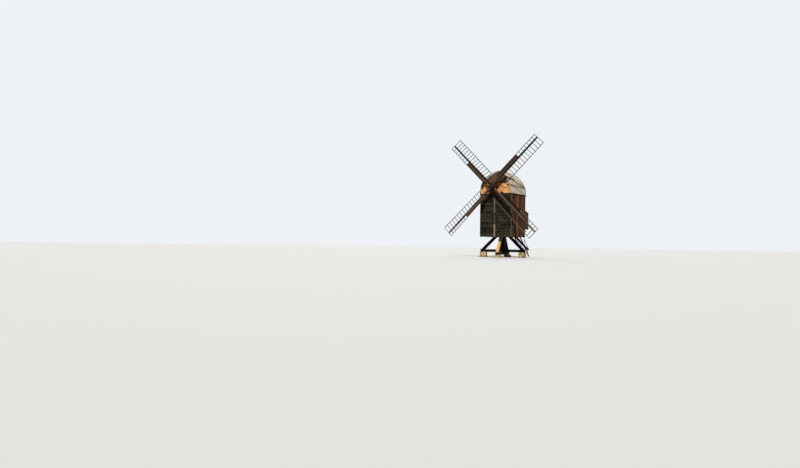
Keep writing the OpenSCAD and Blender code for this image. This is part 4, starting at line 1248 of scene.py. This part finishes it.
strings = new_piece()
rails = new_piece()
for side in (1, -1):
    inner, outer = sorted((side * stair_half, side * (stair_half + string_thick)))
    hewn(strings, [section("Y", gallery_end, (inner, string_low), (outer, string_top)),
        section("Z", stair_gap, (inner, foot_y[0]), (outer, foot_y[1]))], 0.006, 0.003, 10)
    inner, outer = sorted((side * (stair_half + string_thick), side * (stair_half + 2 * string_thick)))
    rows = []
    for y in rail_ends:
        top = gallery_low + rail_height - (y - gallery_end) * stair_fall
        rows.append(section("Y", y, (inner, top - rail_depth / math.cos(stair_lean)), (outer, top)))
    hewn(rails, rows, 0.012, 0.004, 8)
    for share in rail_post_places:
        y = gallery_end + share * stair_reach
        low = gallery_low - (y - gallery_end) * stair_fall
        straight(rails, "Z", (inner, y - rail_post_half, low - 0.2), (outer, y + rail_post_half, low + 0.8),
            0.008, 0.002, 3)
place_piece("stair_string_planks", strings, frame_timber, "mill_body", "frame_timber", "stair_strings")
treads = new_piece()
for number in range(1, tread_count + 1):
    y = gallery_end + number * stair_reach / (tread_count + 1)
    z = string_top - (y - gallery_end) * stair_fall - 0.02
    front = y - tread_front
    back = y + tread_back
    spans = ((-stair_half, stair_half),)
    if pole_top(front) + 0.03 > z - tread_thick and pole_top(back) - pole_drop - 0.03 < z:
        spans = ((-stair_half, -pole_half - pole_gap), (pole_half + pole_gap, stair_half))
    for start, stop in spans:
        straight(treads, "X", (start, front, z - tread_thick), (stop, back, z), 0.006, 0.003, 3)
place_piece("stair_tread_planks", treads, floor_wood, "mill_body", "floor_boards", "stair_treads")
place_piece("stair_rail_timbers", rails, frame_timber, "mill_body", "frame_timber", "stair_rails")


# Tail pole
# One long squared trunk, held between the sheers under the body, slopes down through the stair. It turns
# the mill into the wind.
pole = new_piece()
pole_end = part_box("tail_pole")[1].y - post.y
hewn(pole, [section("Y", y, (-pole_half, pole_top(y) - pole_drop), (pole_half, pole_top(y)))
    for y in (pole_head, pole_end)], 0.035, 0.012, 20)
place_piece("tail_pole_timber", pole, old_oak_and_painted_shade, "mill_body", "old_timber", "tail_pole")


# Windshaft
# A turned oak shaft with a square head, through which both stocks pass. An iron band holds each end of the
# head together, and hardwood wedges lock the stocks in it.
at_hub = at_post @ Matrix.Translation(hub) @ Matrix.Rotation(-shaft_tilt, 4, "X")
sail_angle = math.radians(45.7)
at_head = at_hub @ Matrix.Rotation(-sail_angle, 4, "Y")
head_half = 0.34
band_thick = 0.012
band_places = ((-0.452, -0.392), (0.372, 0.432))
stock_spacing = 0.4
wedge_half = 0.03
wedge_thick = 0.022
wedge_places = (-0.09, 0.09)
wedge_back = 0.151
dress(wood("windshaft oak", (16, 13, 9), (46, 38, 29), (50, 42, 33), (6, 5, 3), along="Y"), "windshaft")
bands = new_piece()
band_half = head_half + band_thick
for front, back in band_places:
    for turn in range(4):
        straight(bands, "X", (-band_half, front, head_half), (band_half, back, band_half), 0.002, 0, 1,
            Matrix.Rotation(turn * math.pi / 2, 3, "Y"))
place_piece("head_bands", bands, iron, "sail_cross", "frame_timber", move=at_head)
wedges = new_piece()
for inner, end, across, face in ((inner, end, across, face) for inner in (0, 1) for end in (-1, 1)
        for across in wedge_places for face in (-1, 1)):
    turn = Matrix.Rotation(-inner * math.pi / 2, 3, "Y")
    middle = (inner - 0.5) * stock_spacing + face * wedge_back
    rows = [section("X", end * x, (middle, across - wedge_half), (middle + face * wedge_thick * share,
        across + wedge_half)) for x, share in ((head_half - 0.01, 0.6), (head_half + 0.07, 1.0))]
    hewn(wedges, [[turn @ c for c in row] for row in rows], 0.003, 0, 1)
place_piece("head_wedges", wedges, floor_wood, "sail_cross", "frame_timber", move=at_head)


# Stocks
# Two long pine stocks cross in the head, the outer one in front. Each tapers to both tips and is darkened by
# weather. Iron bands and bolts hold the scarfs of the arms. The arm to the lower right is painted pale along
# its upper-right edge, as painted sunlight, and dark over the rest, as painted shade. The other arms' tones
# also differ as the light falls on each.
sail_length = 9.65
stock_middle = (0.15, 0.165)
stock_tip = (0.08, 0.105)
scarf_places = [end * place for place in (1.05, 1.45, 2.75, 3.15) for end in (-1, 1)]
strap_half = 0.03
stock_wood = wood("stock timber", (13, 10, 7), (104, 86, 72), (84, 70, 58), (7, 5, 4), 0.8, 0.5)
# Painted light: the tone column gives each arm its lit or shaded look, and the lower right arm is split along
# its length into a pale lit strip and a dark shaded rest.
stock_parts_with_painted_light = {
    "outer": ((-sail_length, -head_half, -1, 1, 0.4), (-head_half, head_half, -1, 1, 0.3),
        (head_half, sail_length, -1, 1, -0.15)),
    "inner": ((-sail_length, -head_half, -1, 0.15, 1.15), (-sail_length, -head_half, 0.15, 1, -0.1),
        (-head_half, head_half, -1, 1, 0.3), (head_half, sail_length, -1, 1, -0.2))}


def stock_place(inner, turned_round=False):
    """Where a stock's own X axis lies along its arm: the outer stock is number 0."""
    place = at_hub @ Matrix.Translation((0, (inner - 0.5) * stock_spacing, 0))
    return place @ Matrix.Rotation(-sail_angle - inner * math.pi / 2 + turned_round * math.pi, 4, "Y")


def stock_half(x):
    """Half the depth and half the width of a stock at a distance from its middle."""
    share = max(0, (abs(x) - head_half) / (sail_length - head_half))
    return [a + (b - a) * share for a, b in zip(stock_middle, stock_tip)]


def stock_row(x, more=0, low=-1, high=1):
    """The section of a stock at a distance from its middle, with a margin, between two shares across it."""
    depth, width = (half + more for half in stock_half(x))
    return section("X", x, (-depth, low * width), (depth, high * width))


for inner, name in ((0, "outer"), (1, "inner")):
    stock = new_piece()
    for start, stop, low, high, tone in stock_parts_with_painted_light[name]:
        hewn(stock, [stock_row(start, 0, low, high), stock_row(stop, 0, low, high)], 0.016, 0.004, 10, tone)
    place_piece(name + "_stock_timber", stock, stock_wood, "sail_cross", "stock_timber", name + "_stock",
        move=stock_place(inner))
    straps = new_piece()
    for middle in scarf_places:
        ends = (middle - strap_half, middle + strap_half)
        hewn(straps, [stock_row(x, 0.008) for x in (ends if middle > 0 else ends[::-1])], 0.01, 0, 1)
    place_piece(name + "_stock_straps", straps, iron, "sail_cross", "stock_timber", move=stock_place(inner))


# Sail lattices
# Fifteen flat rungs are mortised through each arm at an angle that flattens towards the tip, so that the
# sail is twisted. Thin rails join their ends: the wide side has one all the way, the narrow side only
# beyond the boards.
wide_side = 1.28
narrow_side = 0.64
rung_count = 15
first_rung = 1.93
rung_pitch = (sail_length - 0.03 - first_rung) / (rung_count - 1)
boarded_rungs = rung_count // 2
twist_root = math.tan(math.radians(20))
twist_tip = math.tan(math.radians(6))
# Painted light: the tones of the rungs and rails differ from arm to arm as the light falls on each, and the
# wide rail of the lower right arm is painted pale as sunlit.
rung_painted_light = (-0.3, -0.3, 0.0, -0.15)
rail_painted_light = (-0.25, -0.25, 0.1, 1.1)
rung_half = 0.039
rail_half = 0.044
half_thick = 0.02
sail_wood = wood("sail timber", (13, 11, 9), (120, 104, 88), (70, 60, 50), (8, 6, 5), 0.8, 0.5)


def twist_at(r):
    """The lean of the sail about its arm at a distance from the hub."""
    return math.atan(twist_root + (twist_tip - twist_root) * (r - first_rung) / (sail_length - first_rung))


def on_sail(r, across, out=0, along=0):
    """A place on the twisted sail: along the arm, across it (minus is the wide side) and out of it."""
    return Vector((r, 0, 0)) + Matrix.Rotation(twist_at(r), 3, "X") @ Vector((along, out, across))


for number in range(1, 5):
    lattice = new_piece()
    for index in range(rung_count):
        r = first_rung + index * rung_pitch
        rows = [section("Z", z, (-rung_half, -half_thick), (rung_half, half_thick))
            for z in (-wide_side, narrow_side)]
        hewn(lattice, [[on_sail(r, c.z, c.y, c.x) for c in row] for row in rows], 0.005, 0.002, 4,
            rung_painted_light[number - 1] + 0.2 * noise.cell(Vector((index, number, 0))))
    for start, middle in ((0, rail_half - wide_side), (boarded_rungs, narrow_side - rail_half)):
        stops = [first_rung + index * rung_pitch for index in range(start, rung_count)]
        stops = [stops[0] - 0.03, *stops[1:-1], stops[-1] + 0.03]
        rows = [[on_sail(r, middle + across, out) for out, across in ((-half_thick, -rail_half),
            (half_thick, -rail_half), (half_thick, rail_half), (-half_thick, rail_half))] for r in stops]
        hewn(lattice, rows, 0.005, 0.002, 2, rail_painted_light[number - 1])
    place_piece(f"sail_lattice_{number}_timbers", lattice, sail_wood, "sail_cross", "sail_timber",
        f"sail_lattice_{number}", move=stock_place((number + 1) % 2, number > 2))


# Wind boards
# Thin boards cover the inner half of each sail's narrow side. Three planks lie side by side on the windward
# face of the rungs, twist with them, meet end to end on a rung and are held by battens. The outermost is the
# darkest.
# Painted light: the lower left arm's boards are painted pale as sunlit, and the lower right arm's boards dark
# as shaded.
panel_painted_light = {"outer": (0.35, 0.7), "inner": (0.35, 0.0)}
panel_back = 0.0203
panel_thick = 0.024
panel_front = panel_back + panel_thick
panel_start = first_rung - rung_pitch * 0.55
panel_stop = first_rung + boarded_rungs * rung_pitch - 0.04
plank_breaks = ((2, 4), (3, 5), (2, 5))
plank_shades = (0.3, 0.0, -0.4)
batten_half = 0.02
batten_thick = 0.014
batten_rungs = (1, 3, 5)
plank_gap = 0.004
plank_end_gap = 0.0015
board_wood = wood("wind boards", (15, 10, 6), (92, 71, 52), (70, 56, 43), (7, 5, 3), 0.8, 0.5)


def plank_row(r, low, high):
    """The section of a plank across the sail, its edges as shares from the stock outwards. The backs of
    neighbours meet, and the innermost is let a little into the stock."""
    lean_here = twist_at(r)
    inside = (stock_half(r)[1] - 0.004 + panel_front * math.sin(lean_here)) / math.cos(lean_here)
    return [on_sail(r, inside + (narrow_side - inside) * share, -out) for share, out in (
        (low - 0.006, panel_back), (low, panel_front), (high, panel_front),
        (min(high + 0.006, 0.996), panel_back))]


for inner, name in ((0, "outer"), (1, "inner")):
    panels = new_piece()
    for end in (0, 1):
        to_end = Matrix.Rotation(end * math.pi, 3, "Y")
        for part in range(3):
            breaks = [panel_start, *(first_rung + index * rung_pitch for index in plank_breaks[part]),
                panel_stop]
            for start, stop in zip(breaks, breaks[1:]):
                tone = panel_painted_light[name][end] + plank_shades[part]
                low, high = start + plank_end_gap, stop - plank_end_gap
                rows = [plank_row(low + (high - low) * step / 4, part / 3 + plank_gap,
                    (part + 1) / 3 - plank_gap) for step in range(5)]
                hewn(panels, [[to_end @ c for c in row] for row in rows], 0.003, 0.002, 1,
                    tone + 0.1 * noise.cell(Vector((start, end, part))))
        for index in batten_rungs:
            r = first_rung + (index + 0.5) * rung_pitch
            rows = [[to_end @ on_sail(r + along, across, -panel_front - out) for along, out in (
                (-batten_half, 0), (-batten_half, batten_thick), (batten_half, batten_thick),
                (batten_half, 0))] for across in (0.2, narrow_side - 0.01)]
            hewn(panels, rows, 0.003, 0, 2, 0.3)
    place_piece(name + "_wind_board_planks", panels, board_wood, "sail_cross", "sail_timber",
        name + "_wind_boards", move=stock_place(inner))


# Bolts and nails
# Hand-forged bolts with square washers hold the quarter bars and the scarfs of the stocks, and rusty nails
# hold the boards.
nail_pitch = 0.215
gable_nail_pitch = 0.24
nail_proud = 0.003
bar_bolt_places = (0.1, 0.9)
side_nail_heights = (boards_low + 0.06, sill_low + 0.17, girt_joint - 0.12, girt_joint + 0.12, 8.1,
    eaves - 0.25)
centre_nail_heights = (boards_low + 0.1, 4.2, 5.4, board_joint - 0.1, board_joint + 0.1, 7.6, 8.6,
    eaves - 0.2)


def heads():
    """Nodes that put a head with a washer on each point, facing the way that the point says."""
    tree, given = geometry_tree("bolt heads", "Radius", "Depth", "Washer")
    head = add_node(tree, "GeometryNodeMeshCylinder", {"Vertices": 6, "Radius": given["Radius"],
        "Depth": given["Depth"]})
    washer = add_node(tree, "GeometryNodeMeshCylinder", {"Vertices": 4, "Radius": given["Washer"],
        "Depth": calc(tree, "MULTIPLY", given["Depth"], 0.4)})
    both = add_node(tree, "GeometryNodeJoinGeometry", {0: head.outputs[0]})
    feed(tree, both, {0: washer.outputs[0]})
    facing = add_node(tree, "GeometryNodeInputNamedAttribute", {"Name": "facing"}, data_type="FLOAT_VECTOR")
    turned_by = add_node(tree, "FunctionNodeAlignRotationToVector", {"Vector": facing.outputs[0]}, axis="Z")
    spread = add_node(tree, "GeometryNodeInstanceOnPoints", {"Points": given["Geometry"],
        "Instance": both.outputs[0], "Rotation": turned_by.outputs[0]})
    whole = add_node(tree, "GeometryNodeRealizeInstances", {0: spread.outputs[0]})
    end_tree(tree, whole.outputs[0], given["Finish"])
    return tree


head_tree = heads()


def fasten(name, places, radius, depth, washer, body, slot):
    """A piece of bolt or nail heads from a list of places in the frame and the way that each one faces."""
    base = bpy.data.meshes.new(name)
    base.from_pydata([place for place, out in places], [], [])
    facing = base.attributes.new("facing", "FLOAT_VECTOR", "POINT")
    for item, (place, out) in zip(facing.data, places):
        item.vector = out
    bm = grown(head_tree, {"Radius": radius, "Depth": depth, "Washer": washer, "Finish": iron}, base)
    place_piece(name, bm, iron, body, slot, move=Matrix.Identity(4))


def moved(move, place, out):
    """A place and the way it faces, taken from a piece's own axes to the frame."""
    return move @ Vector(place), (move.to_3x3() @ Vector(out)).normalized()


bar_bolts = []
for turn in range(4):
    place = at_trestle @ Matrix.Rotation(turn * math.pi / 2, 4, "Z")
    foot_height = high_pier_height if turn % 2 else post_foot
    rise = quarter_bar_head - foot_height
    run = quarter_bar_foot - post_square / 2
    half_deep = quarter_bar_depth / 2 / math.hypot(run, rise)
    for share in bar_bolt_places:
        x = quarter_bar_foot - run * share - rise * half_deep
        z = foot_height + rise * share - run * half_deep
        for side in (-1, 1):
            bar_bolts.append(moved(place, (x, side * (quarter_bar_width / 2 + 0.002), z), (0, side, 0)))
fasten("quarter_bar_bolts", bar_bolts, 0.022, 0.03, 0.045, "trestle", "old_timber")
stock_bolts = []
for inner in (0, 1):
    for x in scarf_places:
        for side, shift in ((-1, -0.06), (-1, 0.06), (1, -0.06), (1, 0.06)):
            stock_bolts.append(moved(stock_place(inner), (x, side * (stock_half(x)[0] + 0.01), shift),
                (0, side, 0)))
fasten("stock_bolts", stock_bolts, 0.014, 0.024, 0.02, "sail_cross", "stock_timber")
nails = []
chance = random.Random(90)
for side in (-1, 1):
    y = -half_depth + 0.28
    while y < half_depth - 0.05:
        for z, at in ((z, y + shift) for z in side_nail_heights for shift in (-0.05, 0.05)):
            if not (hatch_y[0] - 0.1 < at < hatch_y[1] + 0.1 and hatch_z[0] < z < hatch_z[1]):
                nails.append(moved(at_post, (side * (half_width + nail_proud), at, z), (side, 0, 0)))
        y += nail_pitch + chance.uniform(-0.01, 0.01)
x = -arch_foot + 0.14
while x < arch_foot - 0.1:
    for z, at in ((z, x + shift) for z in (0.1, 0.75, 1.45) for shift in (-0.06, 0.06)):
        on_short = short_board[0] < at < short_board[1] and z < 0.3
        if abs(x) > hole_half + 0.05 and arch_height(at) > z + 0.08 and not on_short:
            nails.append(moved(at_post, (at, -half_depth - nail_proud, eaves + z), (0, -1, 0)))
    x += gable_nail_pitch
for z, x in ((z, x) for z in centre_nail_heights for x in (centre_left + 0.05, centre_right - 0.05)):
    nails.append(moved(at_post, (x, centre_front - 0.002, z), (0, -1, 0)))
fasten("board_nails", nails, 0.009, 0.008, 0.007, "mill_body", "side_boards")
